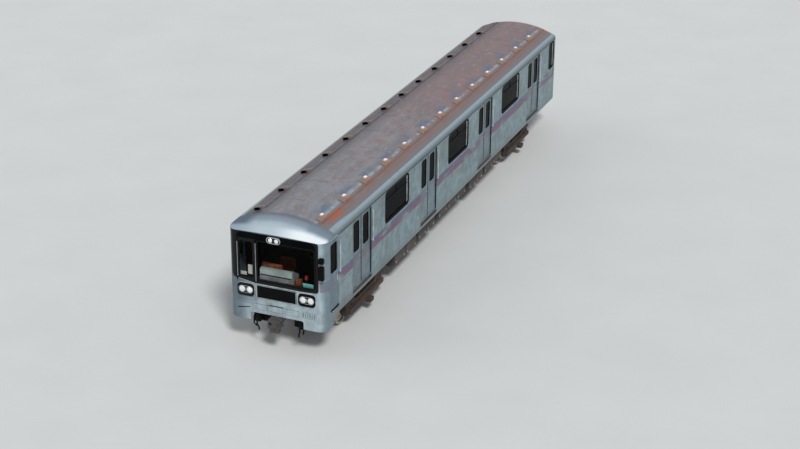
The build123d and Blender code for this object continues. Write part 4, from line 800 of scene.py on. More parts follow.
# Geometry nodes
class Recipe:
    """A Geometry Nodes tree with named inputs that ends in Realize Instances and Set Material."""

    def __init__(self, name: str, inputs: dict[str, tuple[str, object]],
                 build: Callable[[Graph, Wire], Wire]) -> None:
        """Build the tree.

        Args:
            name: the tree's name.
            inputs: input name to socket type and default value.
            build: takes the graph and the group's input, and returns the geometry.
        """
        self.tree = bpy.data.node_groups.new(name, "GeometryNodeTree")
        face = self.tree.interface
        face.new_socket(name="Geometry", in_out="INPUT", socket_type="NodeSocketGeometry")
        for label, (kind, value) in inputs.items():
            socket = face.new_socket(name=label, in_out="INPUT", socket_type=kind)
            if value is not None:
                socket.default_value = value
        face.new_socket(name="Material", in_out="INPUT", socket_type="NodeSocketMaterial")
        face.new_socket(name="Geometry", in_out="OUTPUT", socket_type="NodeSocketGeometry")
        g = Graph(self.tree)
        source = g.add("NodeGroupInput", out="Geometry")
        shape = g.add("GeometryNodeRealizeInstances", None, {0: build(g, source)})
        dressed = g.add("GeometryNodeSetMaterial", None, {"Geometry": shape,
                                                          "Material": source.other("Material")})
        g.add("NodeGroupOutput", None, {0: dressed})

    def make(self, name: str, points: Sequence[Point], coat: Coats, body: str, slot: str,
             edges: Sequence[tuple[int, int]] = (), replaces: Sequence[str] = (),
             **values: object) -> bpy.types.Object:
        """Run the tree on a set of points and keep the result as a plain mesh.

        Args:
            name: the new piece's name.
            points: vertices of the carrier mesh.
            coat: finish of the result.
            body: CAD body it rides on.
            slot: not used.
            edges: edges of the carrier mesh.
            replaces: CAD nodes it stands for.
            values: inputs by name, with _ for a space.

        Returns:
            The new object.
        """
        carrier_mesh = bpy.data.meshes.new(name + "_carrier")
        carrier_mesh.from_pydata([tuple(p) for p in points], list(edges), [])
        carrier = bpy.data.objects.new(name + "_carrier", carrier_mesh)
        bpy.context.scene.collection.objects.link(carrier)
        modifier = carrier.modifiers.new("recipe", "NODES")
        modifier.node_group = self.tree
        given = {key.replace("_", " "): value for key, value in values.items()}
        given["Material"] = coat.material()
        for item in self.tree.interface.items_tree:
            if item.in_out == "INPUT" and item.name in given:
                modifier[item.identifier] = given[item.name]
        seen = bpy.context.evaluated_depsgraph_get()
        data = bpy.data.meshes.new_from_object(carrier.evaluated_get(seen), depsgraph=seen)
        data.name = name
        carrier.modifiers.remove(modifier)
        bpy.data.objects.remove(carrier)
        return settle(name, data, body, replaces)


def sweep_recipe() -> Recipe:
    """Round bead or pipe along every edge of the carrier."""
    def build(g: Graph, source: Wire) -> Wire:
        curve = g.add("GeometryNodeMeshToCurve", None, {"Mesh": source})
        ring = g.add("GeometryNodeCurvePrimitiveCircle", None,
                     {"Resolution": source.other("Sides"), "Radius": source.other("Radius")})
        return g.add("GeometryNodeCurveToMesh", None, {"Curve": curve, "Profile Curve": ring,
                                                       "Fill Caps": True})
    return Recipe("swept_bar", {"Radius": ("NodeSocketFloat", 0.01), "Sides": ("NodeSocketInt", 6)}, build)


def bolt_recipe() -> Recipe:
    """Hexagonal bolt head on every point of the carrier, turned the same way."""
    def build(g: Graph, source: Wire) -> Wire:
        head = g.add("GeometryNodeMeshCylinder", None, {"Vertices": 6, "Radius": source.other("Radius"),
                                                        "Depth": source.other("Height")}, "Mesh")
        return g.add("GeometryNodeInstanceOnPoints", None,
                     {"Points": source, "Instance": head, "Rotation": source.other("Turn")})
    return Recipe("bolt_heads", {"Radius": ("NodeSocketFloat", 0.012), "Height": ("NodeSocketFloat", 0.012),
                                 "Turn": ("NodeSocketRotation", None)}, build)


def coil_recipe() -> Recipe:
    """Coil spring that stands on every point of the carrier."""
    def build(g: Graph, source: Wire) -> Wire:
        path = g.add("GeometryNodeCurveSpiral", None, {"Resolution": 20, "Rotations": source.other("Turns"),
                                                       "Start Radius": source.other("Radius"),
                                                       "End Radius": source.other("Radius"),
                                                       "Height": source.other("Height")})
        ring = g.add("GeometryNodeCurvePrimitiveCircle", None,
                     {"Resolution": 8, "Radius": source.other("Wire")})
        coil = g.add("GeometryNodeCurveToMesh", None, {"Curve": path, "Profile Curve": ring,
                                                       "Fill Caps": True})
        return g.add("GeometryNodeInstanceOnPoints", None, {"Points": source, "Instance": coil})
    return Recipe("coil_springs", {"Turns": ("NodeSocketFloat", 5.0), "Radius": ("NodeSocketFloat", 0.06),
                                   "Height": ("NodeSocketFloat", 0.24), "Wire": ("NodeSocketFloat", 0.014)},
                  build)


def slat_recipe() -> Recipe:
    """Row of louvre slats, Count of them, from every point of the carrier along Step."""
    def build(g: Graph, source: Wire) -> Wire:
        slat = g.add("GeometryNodeMeshCube", None, {"Size": source.other("Size")}, "Mesh")
        tilted = g.add("GeometryNodeTransform", None, {"Geometry": slat, "Rotation": source.other("Tilt")})
        row = g.add("GeometryNodeMeshLine", {"mode": "OFFSET"},
                    {"Count": source.other("Count"), "Offset": source.other("Step")})
        slats = g.add("GeometryNodeInstanceOnPoints", None, {"Points": row, "Instance": tilted})
        return g.add("GeometryNodeInstanceOnPoints", None, {"Points": source, "Instance": slats})
    return Recipe("louvre_slats", {"Size": ("NodeSocketVector", (0.4, 0.01, 0.03)),
                                   "Tilt": ("NodeSocketRotation", None), "Count": ("NodeSocketInt", 8),
                                   "Step": ("NodeSocketVector", (0, 0, 0.04))}, build)


class Recipes:
    """The four repeating trees of the car."""

    def __init__(self) -> None:
        """Build each tree once."""
        self.sweep = sweep_recipe()
        self.bolts = bolt_recipe()
        self.coils = coil_recipe()
        self.slats = slat_recipe()


SIDES = {"left": 1, "right": -1}
ENDS = {"front": 1, "rear": -1}


# Car body
@dataclass
class SideWalls:
    """Side walls: window rubbers and frames, beads, thresholds and seams."""

    half_width: float = 1.35
    inner_y: float = 1.25
    windows: tuple[float, ...] = (4.72, 0.0, -4.72)
    window_length: float = 1.6
    end_window: tuple[float, float] = (-8.99, 0.48)
    window_z: tuple[float, float] = up(2.23, 3.07)
    window_radius: float = 0.09
    doors: tuple[float, ...] = (7.08, 2.36, -2.36, -7.08)
    doorway: float = 1.21
    sill_z: tuple[float, float] = up(1.0, 1.2)
    head_z: float = 3.105 + LIFT
    front_x: float = 8.59
    rear_x: float = -9.385
    bead_radius: float = 0.0135
    bead_depth: float = 0.005

    def spans(self) -> list[tuple[float, float]]:
        """Window openings along the side, as X ranges."""
        centre, length = self.end_window
        wide = [(c - self.window_length / 2, c + self.window_length / 2) for c in self.windows]
        return wide + [(centre - length / 2, centre + length / 2)]

    def window_trims(self) -> None:
        """Rubber gaskets, alloy frames with a hopper bar, and inside frames."""
        trims = Shape(Coats.RUBBER, Coats.ALLOY, Coats.LINING, Coats.BEZEL)
        for side in SIDES.values():
            wall = side_plane(side, self.half_width)
            for span in self.spans():
                loop = round_rect(span, self.window_z, self.window_radius, 7)
                trims.use(Coats.RUBBER).ring(wall, loop, [(0.045, -0.002), (0.041, 0.006), (0.012, 0.009),
                                                          (0.0, 0.004), (-0.004, -0.028), (0.006, -0.028),
                                                          (0.006, -0.002)])
                trims.use(Coats.BEZEL).ring(wall, loop, [(-0.004, -0.029), (-0.004, -0.004),
                                                         (-0.012, -0.002), (-0.026, -0.006),
                                                         (-0.026, -0.029)])
                trims.use(Coats.ALLOY).slab(wall, (span[0] + 0.03, span[0] + 0.085),
                                            (self.window_z[0] + 0.03, self.window_z[1] - 0.03),
                                            (-0.029, -0.012), 0.004)
                trims.use(Coats.LINING).ring(wall, loop, [(0.045, -0.098), (0.045, -0.106), (0.002, -0.108),
                                                          (-0.006, -0.036), (0.003, -0.036),
                                                          (0.003, -0.098)])
                bar_z = self.window_z[1] - 0.24
                if span[1] - span[0] > 1:
                    trims.use(Coats.BEZEL).slab(wall, (span[0] + 0.02, span[1] - 0.02),
                                                (bar_z - 0.012, bar_z + 0.012), (-0.029, -0.012), 0.003)
                    middle = (span[0] + span[1]) / 2
                    trims.slab(wall, (middle - 0.011, middle + 0.011), (bar_z, self.window_z[1] - 0.02),
                               (-0.029, -0.014), 0.003)
        trims.piece("window_trims", CARBODY)

    def beads(self, recipes: Recipes) -> None:
        """Pressed beads that run along the side panels."""
        points: list[Point] = []
        edges = []
        low = [self.sill_z[0] + 0.075, *(1.32 + LIFT + 0.115 * i for i in range(5))]
        high = [2.32 + LIFT + 0.115 * i for i in range(7)]
        starts = [self.rear_x + 0.05] + [c + self.doorway / 2 + 0.05 for c in reversed(self.doors)]
        stops = [c - self.doorway / 2 - 0.05 for c in reversed(self.doors)] + [self.front_x - 0.03]
        cut = self.spans()
        for side in SIDES.values():
            y = side * (self.half_width - self.bead_radius + self.bead_depth)
            for start, stop in zip(starts, stops):
                for z in low[1:]:
                    edges.append((len(points), len(points) + 1))
                    points += [(start, y, z), (stop, y, z)]
                inside = [s for s in cut if s[0] > start and s[1] < stop]
                for z in high:
                    marks = [start] + [m for s in inside for m in (s[0] - 0.06, s[1] + 0.06)] + [stop]
                    if stop - start < 1.2:
                        marks = [start, stop - 0.13 if stop > 8 else stop]
                    for a, b in zip(marks[::2], marks[1::2]):
                        edges.append((len(points), len(points) + 1))
                        points += [(a, y, z), (b, y, z)]
        recipes.sweep.make("side_beads", points, Coats.SIDE, CARBODY, "body_paint", edges,
                           Radius=self.bead_radius, Sides=10)

    def thresholds(self, recipes: Recipes) -> None:
        """Dark plates on the wall under the doors, painted shade below the thresholds, alloy tread plates, rain
        strips over the doors, and jamb rubbers.
        """
        trims = Shape(Coats.RUBBER, Coats.ALLOY, Coats.UNDER, Coats.SIDE)
        half = self.doorway / 2
        treads = []
        for side in SIDES.values():
            wall = side_plane(side, self.half_width)
            for centre in self.doors:
                span = (centre - half, centre + half)
                # dark plate under each doorway: painted shade below the threshold
                trims.use(Coats.UNDER).slab(wall, (span[0] + 0.002, span[1] - 0.002),
                                            (self.sill_z[1] - 0.11, self.sill_z[1] - 0.004),
                                            (-0.001, 0.008), 0.003)
                trims.use(Coats.ALLOY).slab(flat_plane(self.sill_z[1]), (span[0] + 0.005, span[1] - 0.005),
                                            sorted((side * 1.327, side * 1.349)), (0.0, 0.003), 0.001)
                treads += [(span[0] + 0.02, side * 1.2, self.sill_z[1] + 0.002)]
                for x, turn in ((span[0], 1), (span[1], -1)):
                    trims.use(Coats.RUBBER).slab(wall, sorted((x + turn * 0.002, x + turn * 0.016)),
                                                 (self.sill_z[1] + 0.01, self.head_z - 0.01),
                                                 (-0.024, -0.004), 0.003)
                trims.use(Coats.SIDE).slab(wall, (span[0] - 0.03, span[1] + 0.03),
                                           (self.head_z + 0.006, self.head_z + 0.02), (-0.002, 0.014),
                                           0.003)
        trims.piece("doorway_trims", CARBODY)
        recipes.slats.make("tread_plates", treads, Coats.ALLOY, CARBODY, "rail_metal",
                           Size=(0.012, 0.09, 0.004), Count=39, Step=(0.03, 0, 0))

    def seams(self, recipes: Recipes) -> None:
        """Upright weld seams in the side panels and a sill moulding along the foot."""
        points: list[Point] = []
        edges = []
        for side in SIDES.values():
            y = side * (self.half_width - 0.003)
            for c in self.windows:
                for x in (c - 1.02, c + 1.02):
                    edges.append((len(points), len(points) + 1))
                    points += [(x, y, self.sill_z[0] + 0.01), (x, y, self.head_z - 0.02)]
            edges.append((len(points), len(points) + 1))
            points += [(self.rear_x + 0.01, y, self.sill_z[0] + 0.012), (9.09, y, self.sill_z[0] + 0.012)]
        recipes.sweep.make("side_seams", points, Coats.SIDE, CARBODY, "body_paint", edges, Radius=0.007,
                           Sides=6)

    def build(self, recipes: Recipes) -> None:
        """Make everything on the side walls."""
        self.window_trims()
        self.beads(recipes)
        self.thresholds(recipes)
        self.seams(recipes)


@dataclass
class Roof:
    """Domed front, scoops and welded seams."""

    half_width: float = 1.35
    spring_z: float = 3.165 + LIFT
    rise: float = 0.385
    eave: float = 0.10
    dome_start: float = 8.735
    dome_length: float = 0.65
    lip: float = 0.03
    corner: float = 0.25
    front_x: float = 9.385
    vent_y: float = 0.84
    vent_x: float = 8.51
    vent_pitch: float = 1.37
    vent_count: int = 13
    vent_size: Point = (0.30, 0.19, 0.09)
    vent_tail: float = 0.03
    vent_swell: float = 0.018
    foot: float = 0.016

    def crown_radius(self) -> float:
        """Radius of the roof's top arc."""
        eave_y = self.half_width - self.eave
        return (eave_y ** 2 + self.rise ** 2 - self.eave ** 2) / (2 * (self.rise - self.eave))

    def height(self, y: float) -> float:
        """Height of the crown's surface at a distance from the middle."""
        radius = self.crown_radius()
        return self.spring_z + self.rise - radius + math.sqrt(radius ** 2 - y ** 2)

    def arch(self, half: float, rise: float, eave: float, steps: int = 36) -> list[tuple[float, float]]:
        """Outline over the springing line from one side to the other, as Y and Z."""
        eave_y = half - eave
        crown = (eave_y ** 2 + rise ** 2 - eave ** 2) / (2 * (rise - eave))
        lean = math.asin(eave_y / (crown - eave))
        right = []
        for i in range(steps // 3 + 1):
            a = (math.pi / 2 - lean) * i / (steps // 3)
            right.append((eave_y + eave * math.cos(a), self.spring_z + eave * math.sin(a)))
        top = []
        for i in range(1, steps):
            a = lean * (1 - 2 * i / steps)
            top.append((crown * math.sin(a), self.spring_z + rise - crown + crown * math.cos(a)))
        return right + top + [(-y, z) for y, z in reversed(right)]

    def dome(self) -> None:
        """Domed front as one smooth skin with its own thickness."""
        drop = self.rise - self.lip
        nose = (self.dome_length ** 2 + drop ** 2) / (2 * drop)
        foot = math.asin(self.dome_length / nose)
        shape = Shape(Coats.ROOF)
        rows = []
        inner = []
        for i in range(25):
            turn = foot * (i / 24)
            x = self.dome_start + nose * math.sin(turn)
            rise = self.rise - nose * (1 - math.cos(turn))
            past = max(0.0, x - (self.front_x - self.corner))
            half = self.half_width - self.corner + math.sqrt(max(0.0, self.corner ** 2 - past ** 2))
            outline = self.arch(half, rise, self.eave * rise / self.rise)
            rows.append([Vector((x, y, z)) for y, z in outline])
            scale = 1 - 0.03
            inner.append([Vector((x - 0.02 if i else x, y * scale,
                                  self.spring_z + (z - self.spring_z) * 0.9)) for y, z in outline])
        shape.skin([list(a) + list(reversed(b)) for a, b in zip(rows, inner)])
        shape.piece("dome_skin", CARBODY, ["roof_dome"], 60)

    def scoop_rows(self, x: float, side: int, shares: Sequence[float],
                   inset: float = 0.0) -> list[list[Vector]]:
        """Cross-sections of one hooded scoop.

        Args:
            x: the scoop's middle.
            side: 1 for the left row, whose mouths face back, and -1 for the right row, whose mouths face ahead.
            shares: places from 0 at the low tail to 1 at the mouth.
            inset: how far inside the hood's outside.
        """
        length, width, height = self.vent_size
        slope = math.asin(self.vent_y / self.crown_radius())
        base = Vector((x, side * self.vent_y, self.height(self.vent_y)))
        up = Vector((0, side * math.sin(slope), math.cos(slope)))
        out = Vector((0, side * math.cos(slope), -math.sin(slope)))
        rows = []
        for t in shares:
            lift = self.vent_tail + (height - self.vent_tail) * t + 4 * self.vent_swell * t * (1 - t) - 2 * inset
            half = width / 2 - inset
            centre = base + Vector((side * length * (0.5 - t), 0, 0)) + up * (self.foot + inset)
            ring = [centre - out * half]
            for k in range(13):
                a = math.pi * (1 - k / 12)
                across = math.copysign(abs(math.cos(a)) ** 0.5, math.cos(a))
                ring.append(centre + out * half * across + up
                            * (0.003 + (lift - 0.003) * math.sin(a) ** 0.45))
            ring.append(centre + out * half)
            rows.append(ring)
        return rows

    def scoops(self) -> None:
        """Two rows of open scoops with black insides, painted shade, and base flanges."""
        shape = Shape(Coats.VENT, Coats.DARK)
        slope = math.asin(self.vent_y / self.crown_radius())
        outside = [0.0, 0.02, *(i / 10 for i in range(1, 11))]
        for side in SIDES.values():
            for i in range(self.vent_count):
                x = self.vent_x - i * self.vent_pitch
                shape.use(Coats.VENT).skin(self.scoop_rows(x, side, outside)
                                           + self.scoop_rows(x, side, (1.0, 0.85, 0.6, 0.4), 0.007))
                # black lining inside each mouth: painted shade
                shape.use(Coats.DARK).skin(self.scoop_rows(x, side, (0.41, 0.6, 0.8, 0.95), 0.008)
                                           + self.scoop_rows(x, side, (0.95, 0.8, 0.6, 0.45), 0.011))
                deck = Plane3((x, side * self.vent_y, self.height(self.vent_y)), (1, 0, 0),
                              (0, side * math.cos(slope), -math.sin(slope)),
                              (0, side * math.sin(slope), math.cos(slope)))
                shape.use(Coats.VENT).slab(deck, (-0.149, 0.149), (-0.105, 0.105),
                                           (self.foot - 0.004, self.foot + 0.005), 0.002)
        shape.piece("roof_scoops", CARBODY, ["roof_vents"], 50)

    def seams(self, recipes: Recipes) -> None:
        """Lapped seams across the crown and along its edges."""
        points: list[Point] = []
        edges = []
        for i in range(self.vent_count):
            x = self.vent_x - (i + 0.5) * self.vent_pitch
            if x > self.dome_start - 0.05 or x < -9.3:
                continue
            for k in range(13):
                y = -0.69 + 1.38 * k / 12
                if k:
                    edges.append((len(points) - 1, len(points)))
                points.append((x, y, self.height(y) - 0.0068))
        for y in (-0.70, 0.70):
            edges.append((len(points), len(points) + 1))
            points += [(self.dome_start - 0.01, y, self.height(y) - 0.0055),
                       (-9.34, y, self.height(y) - 0.0055)]
        recipes.sweep.make("roof_seams", points, Coats.ROOF, CARBODY, "roof_grey", edges, Radius=0.008,
                           Sides=6)

    def build(self, recipes: Recipes) -> None:
        """Make the roof's pieces."""
        self.dome()
        self.scoops()
        self.seams(recipes)


@dataclass
class CabFront:
    """Front end: screen rubber, trims, lamps, mirror, hatches and a wiper."""

    x: float = 9.385
    screen_y: tuple[float, float] = (-0.52, 1.05)
    screen_z: tuple[float, float] = up(1.905, 2.95)
    lamp_y: float = 0.85
    lamp_z: float = 1.58 + LIFT
    lamp_spread: float = 0.104
    lamp_radius: float = 0.088
    bezel: tuple[float, float, float] = (0.235, 0.1725, 0.095)
    lamp_depth: float = 0.028
    recess: float = 0.016
    top_lamp: tuple[float, float] = (-0.05, 3.05 + LIFT)
    belt: tuple[tuple[float, float], ...] = ((-0.575, 1.779), (-0.3, 1.773), (0.3, 1.771), (0.55, 1.773),
                                             (0.8, 1.783), (1.12, 1.802))
    door_belt: tuple[tuple[float, float], ...] = ((-1.084, 1.862), (-0.95, 1.840), (-0.75, 1.808),
                                                  (-0.59, 1.782))
    panel_z: tuple[float, float] = up(1.40, 1.755)
    panel_half: float = 0.55

    def lamp(self, shape: Shape, y: float, z: float, radius: float) -> None:
        """One round lamp: polished ring and bulging lens."""
        face = self.x + self.lamp_depth - self.recess
        out = ALONG
        shape.use(Coats.CHROME).turned((face, y, z), out,
                                       [(radius * 0.80, 0.0005), (radius * 0.985, 0.0005),
                                        (radius * 0.985, 0.012), (radius * 0.93, 0.0155),
                                        (radius * 0.86, 0.012), (radius * 0.80, 0.010)], 32)
        shape.use(Coats.LENS).turned((face, y, z), out, [(0.0, 0.0008), (radius * 0.86, 0.001),
                                                         (radius * 0.86, 0.009), (radius * 0.7, 0.0125),
                                                         (radius * 0.4, 0.0148), (0.0, 0.0155)], 32)

    def lamps(self) -> None:
        """Twin headlamps on both sides and the pair over the windscreen."""
        fixed = Shape(Coats.CHROME, Coats.LENS)
        for offset in (-self.lamp_spread, self.lamp_spread):
            self.lamp(fixed, self.lamp_y + offset, self.lamp_z, self.lamp_radius)
        for offset in (-0.084, 0.084):
            self.lamp(fixed, self.top_lamp[0] + offset, self.top_lamp[1], 0.062)
        fixed.piece("lamps_fixed", CARBODY)
        door = Shape(Coats.CHROME, Coats.LENS)
        for offset in (-self.lamp_spread, self.lamp_spread):
            self.lamp(door, -self.lamp_y + offset, self.lamp_z, self.lamp_radius)
        door.piece("lamps_on_door", "emergency_door")

    def trims(self) -> None:
        """Screen rubber, pale pillar strip, belt line, panel border and lamp surrounds."""
        wall = end_plane(1, self.x)
        shape = Shape(Coats.RUBBER, Coats.TRIM, Coats.BEZEL, Coats.FRONT)
        loop = round_rect(self.screen_y, self.screen_z, 0.06, 7)
        shape.use(Coats.RUBBER).ring(wall, loop, [(0.028, -0.001), (0.024, 0.007), (0.010, 0.010),
                                                  (-0.004, 0.002), (-0.010, -0.022), (0.0, -0.022),
                                                  (0.0, -0.001)])
        shape.use(Coats.TRIM).slab(wall, (-0.571, -0.559), up(1.84, 2.89), (-0.001, 0.007), 0.002)
        shape.strip(wall, [(y, z + LIFT) for y, z in self.belt], 0.005, (-0.001, 0.006))
        # pale strips beside the panel: trim paint, partly painted highlight on the raised mouldings
        for y in (-0.566, 0.578):
            shape.slab(wall, (y - 0.011, y + 0.011), up(1.375, 1.762), (-0.001, 0.016), 0.004)
        panel = end_plane(1, self.x + 0.014)
        border = round_rect((-self.panel_half + 0.008, self.panel_half - 0.008),
                            (self.panel_z[0] + 0.008, self.panel_z[1] - 0.008), 0.014, 4)
        shape.ring(panel, border, [(0.004, -0.001), (0.004, 0.003), (-0.004, 0.003), (-0.004, -0.001)])
        self.lamp_rims(shape, self.lamp_y)
        y, z = self.top_lamp
        oval = round_rect((y - 0.19, y + 0.19), (z - 0.085, z + 0.085), 0.0845, 10)
        shape.ring(wall, oval, [(0.001, 0.010), (0.001, 0.029), (-0.004, 0.031), (-0.015, 0.031),
                                (-0.018, 0.027)])
        shape.piece("front_trims", CARBODY)
        door = Shape(Coats.TRIM)
        self.lamp_rims(door, -self.lamp_y)
        door.strip(wall, [(y, z + LIFT) for y, z in self.door_belt], 0.005, (-0.001, 0.006))
        door.slab(wall, (-1.082, -1.072), up(1.90, 2.93), (-0.001, 0.006), 0.002)
        door.piece("front_trims_on_door", "emergency_door")

    def lamp_rims(self, shape: Shape, y: float) -> None:
        """Pale outline of a headlamp bezel, with an oval and a bar round the lamps."""
        half_y, half_z, radius = self.bezel
        wall = end_plane(1, self.x)
        bezel = round_rect((y - half_y, y + half_y), (self.lamp_z - half_z, self.lamp_z + half_z), radius,
                           8)
        shape.use(Coats.TRIM).ring(wall, bezel, [(0.0005, 0.0), (0.008, 0.0), (0.007, 0.009),
                                                 (0.0005, 0.011)])
        face = end_plane(1, self.x + self.lamp_depth)
        oval = round_rect((y - 0.200, y + 0.200), (self.lamp_z - 0.096, self.lamp_z + 0.096), 0.0955, 10)
        shape.ring(face, oval, [(0.0, -0.001), (0.0, 0.004), (-0.007, 0.004), (-0.007, -0.001)])
        shape.slab(face, (y - 0.008, y + 0.008), (self.lamp_z - 0.05, self.lamp_z + 0.05), (-0.001, 0.004),
                   0.001)

    def hatches(self, recipes: Recipes) -> None:
        """Covers and seams on the apron, the side step slots and foot plates."""
        wall = end_plane(1, self.x)
        shape = Shape(Coats.FRONT, Coats.RUBBER, Coats.ALLOY)
        covers = (((0.70, 1.09), (1.065, 1.24)), ((0.22, 0.62), (1.06, 1.22)),
                  ((-0.24, 0.17), (1.06, 1.22)), ((-0.66, -0.29), (1.06, 1.22)))
        for y, z in covers:
            z = (z[0] + LIFT, z[1] + LIFT)
            shape.use(Coats.RUBBER).slab(wall, y, z, (-0.001, 0.0015), 0.001, 0.012)
            shape.use(Coats.FRONT).slab(wall, (y[0] + 0.006, y[1] - 0.006), (z[0] + 0.006, z[1] - 0.006),
                                        (-0.001, 0.004), 0.0015, 0.01)
        shape.use(Coats.RUBBER).slab(wall, (-0.23, 0.19), up(1.226, 1.246), (-0.001, 0.003), 0.001)
        shape.strip(wall, [(-1.10, 1.035 + LIFT), (-0.75, 1.095 + LIFT)], 0.012, (-0.001, 0.002))
        for k in range(6):
            y = 0.745 + k * 0.06
            shape.slab(wall, (y - 0.006, y + 0.006), up(1.09, 1.215), (0.0, 0.007), 0.002)
        shape.slab(wall, (-0.268, -0.260), up(0.97, 1.285), (-0.001, 0.002), 0.001)
        for side in SIDES.values():
            flank = side_plane(side, 1.35)
            shape.use(Coats.RUBBER).slab(flank, (8.56, 9.04), up(1.165, 1.235), (-0.001, 0.004), 0.002,
                                         0.008)
            shape.use(Coats.ALLOY).slab(flank, (8.62, 8.98), up(1.172, 1.184), (-0.001, 0.026), 0.003)
        shape.piece("front_hatches", CARBODY)
        bolts = [(self.x + 0.004, y + dy, z + LIFT) for (a, b), (c, d) in covers
                 for y, dy in ((a, 0.02), (b, -0.02)) for z in (c + 0.02, d - 0.02)]
        recipes.bolts.make("front_bolts", bolts, Coats.ALLOY, CARBODY, "rail_metal", Radius=0.006,
                           Height=0.006, Turn=(0, math.pi / 2, 0))

    def mirror(self) -> None:
        """Glass and rims on the rear faces of the two mirror boxes at the left front corner."""
        shape = Shape(Coats.BEZEL, Coats.CHROME)
        back = end_plane(-1, -9.40)
        for z0, z1 in ((2.22, 2.60), (2.67, 2.82)):
            loop = round_rect((1.206, 1.339), (z0 + 0.006 + LIFT, z1 - 0.006 + LIFT), 0.03, 5)
            shape.use(Coats.BEZEL).ring(back, loop, [(0.004, -0.002), (0.004, 0.006), (-0.004, 0.008),
                                                     (-0.007, 0.002), (-0.007, -0.002)])
            shape.use(Coats.CHROME).slab(back, (1.212, 1.333), (z0 + 0.012 + LIFT, z1 - 0.012 + LIFT),
                                         (-0.001, 0.003), 0.001, 0.026)
        shape.use(Coats.BEZEL).turned((9.469, 1.244, 2.585 + LIFT), ALONG,
                                      [(0.018, 0.0), (0.018, 0.010), (0.010, 0.016), (0.0, 0.017)], 14)
        shape.piece("mirror_glasses", CARBODY)

    def air_gear(self) -> None:
        """Dark boxes, taps and air hoses behind the notch in the apron, clear of the coupler's swing; the black
        boxes are partly gear and partly painted shade inside the notch.
        """
        shape = Shape(Coats.UNDER, Coats.RUBBER, Coats.RED)
        for side in SIDES.values():
            y = [side * value for value in (0.56, 0.60, 0.66, 0.70, 0.735)]
            shape.use(Coats.RUBBER).block((8.98, 9.22), sorted((y[0], y[4])), up(0.62, 0.985), 0.01)
            shape.block((8.80, 9.02), sorted((side * 0.30, y[3])), up(0.56, 0.985), 0.015)
            shape.block((9.215, 9.26), sorted((y[0] + side * 0.01, y[2])), up(0.86, 0.96), 0.006)
            shape.use(Coats.RUBBER).tube([(9.255, y[1], 0.92 + LIFT), (9.315, y[1], 0.88 + LIFT),
                                          (9.335, y[1], 0.74 + LIFT), (9.325, y[1], 0.60 + LIFT),
                                          (9.30, y[0], 0.50 + LIFT), (9.30, y[0], 0.44 + LIFT)], 0.021)
            shape.tube([(9.215, y[3], 0.84 + LIFT), (9.29, y[3], 0.80 + LIFT), (9.30, y[3], 0.62 + LIFT),
                        (9.26, y[2], 0.52 + LIFT), (9.22, y[2], 0.60 + LIFT), (9.20, y[2], 0.70 + LIFT)],
                       0.019)
            shape.use(Coats.RED).tube([(9.258, y[2], 0.945 + LIFT), (9.30, y[2], 0.955 + LIFT)], 0.008)
        shape.piece("front_air_hoses", CARBODY)

    def wiper(self) -> None:
        """Wiper that hangs over the windscreen: pivot, arm and blade."""
        shape = Shape(Coats.RUBBER, Coats.TRIM, Coats.BEZEL)
        x = self.x + 0.012
        shape.use(Coats.BEZEL).turned((self.x - 0.001, 0.42, 2.992 + LIFT), ALONG,
                                      [(0.022, 0.0), (0.022, 0.012), (0.012, 0.02), (0.0, 0.021)], 16)
        shape.tube([(x + 0.004, 0.42, 2.992 + LIFT), (x + 0.010, 0.50, 2.72 + LIFT),
                    (x + 0.004, 0.55, 2.56 + LIFT)], 0.006)
        shape.use(Coats.RUBBER).tube([(x - 0.002, 0.47, 2.80 + LIFT), (x - 0.001, 0.55, 2.56 + LIFT),
                                      (x - 0.002, 0.63, 2.32 + LIFT)], 0.005)
        shape.piece("wiper", CARBODY)

    def build(self, recipes: Recipes) -> None:
        """Make the front end's pieces."""
        self.lamps()
        self.trims()
        self.hatches(recipes)
        self.mirror()
        self.air_gear()
        self.wiper()


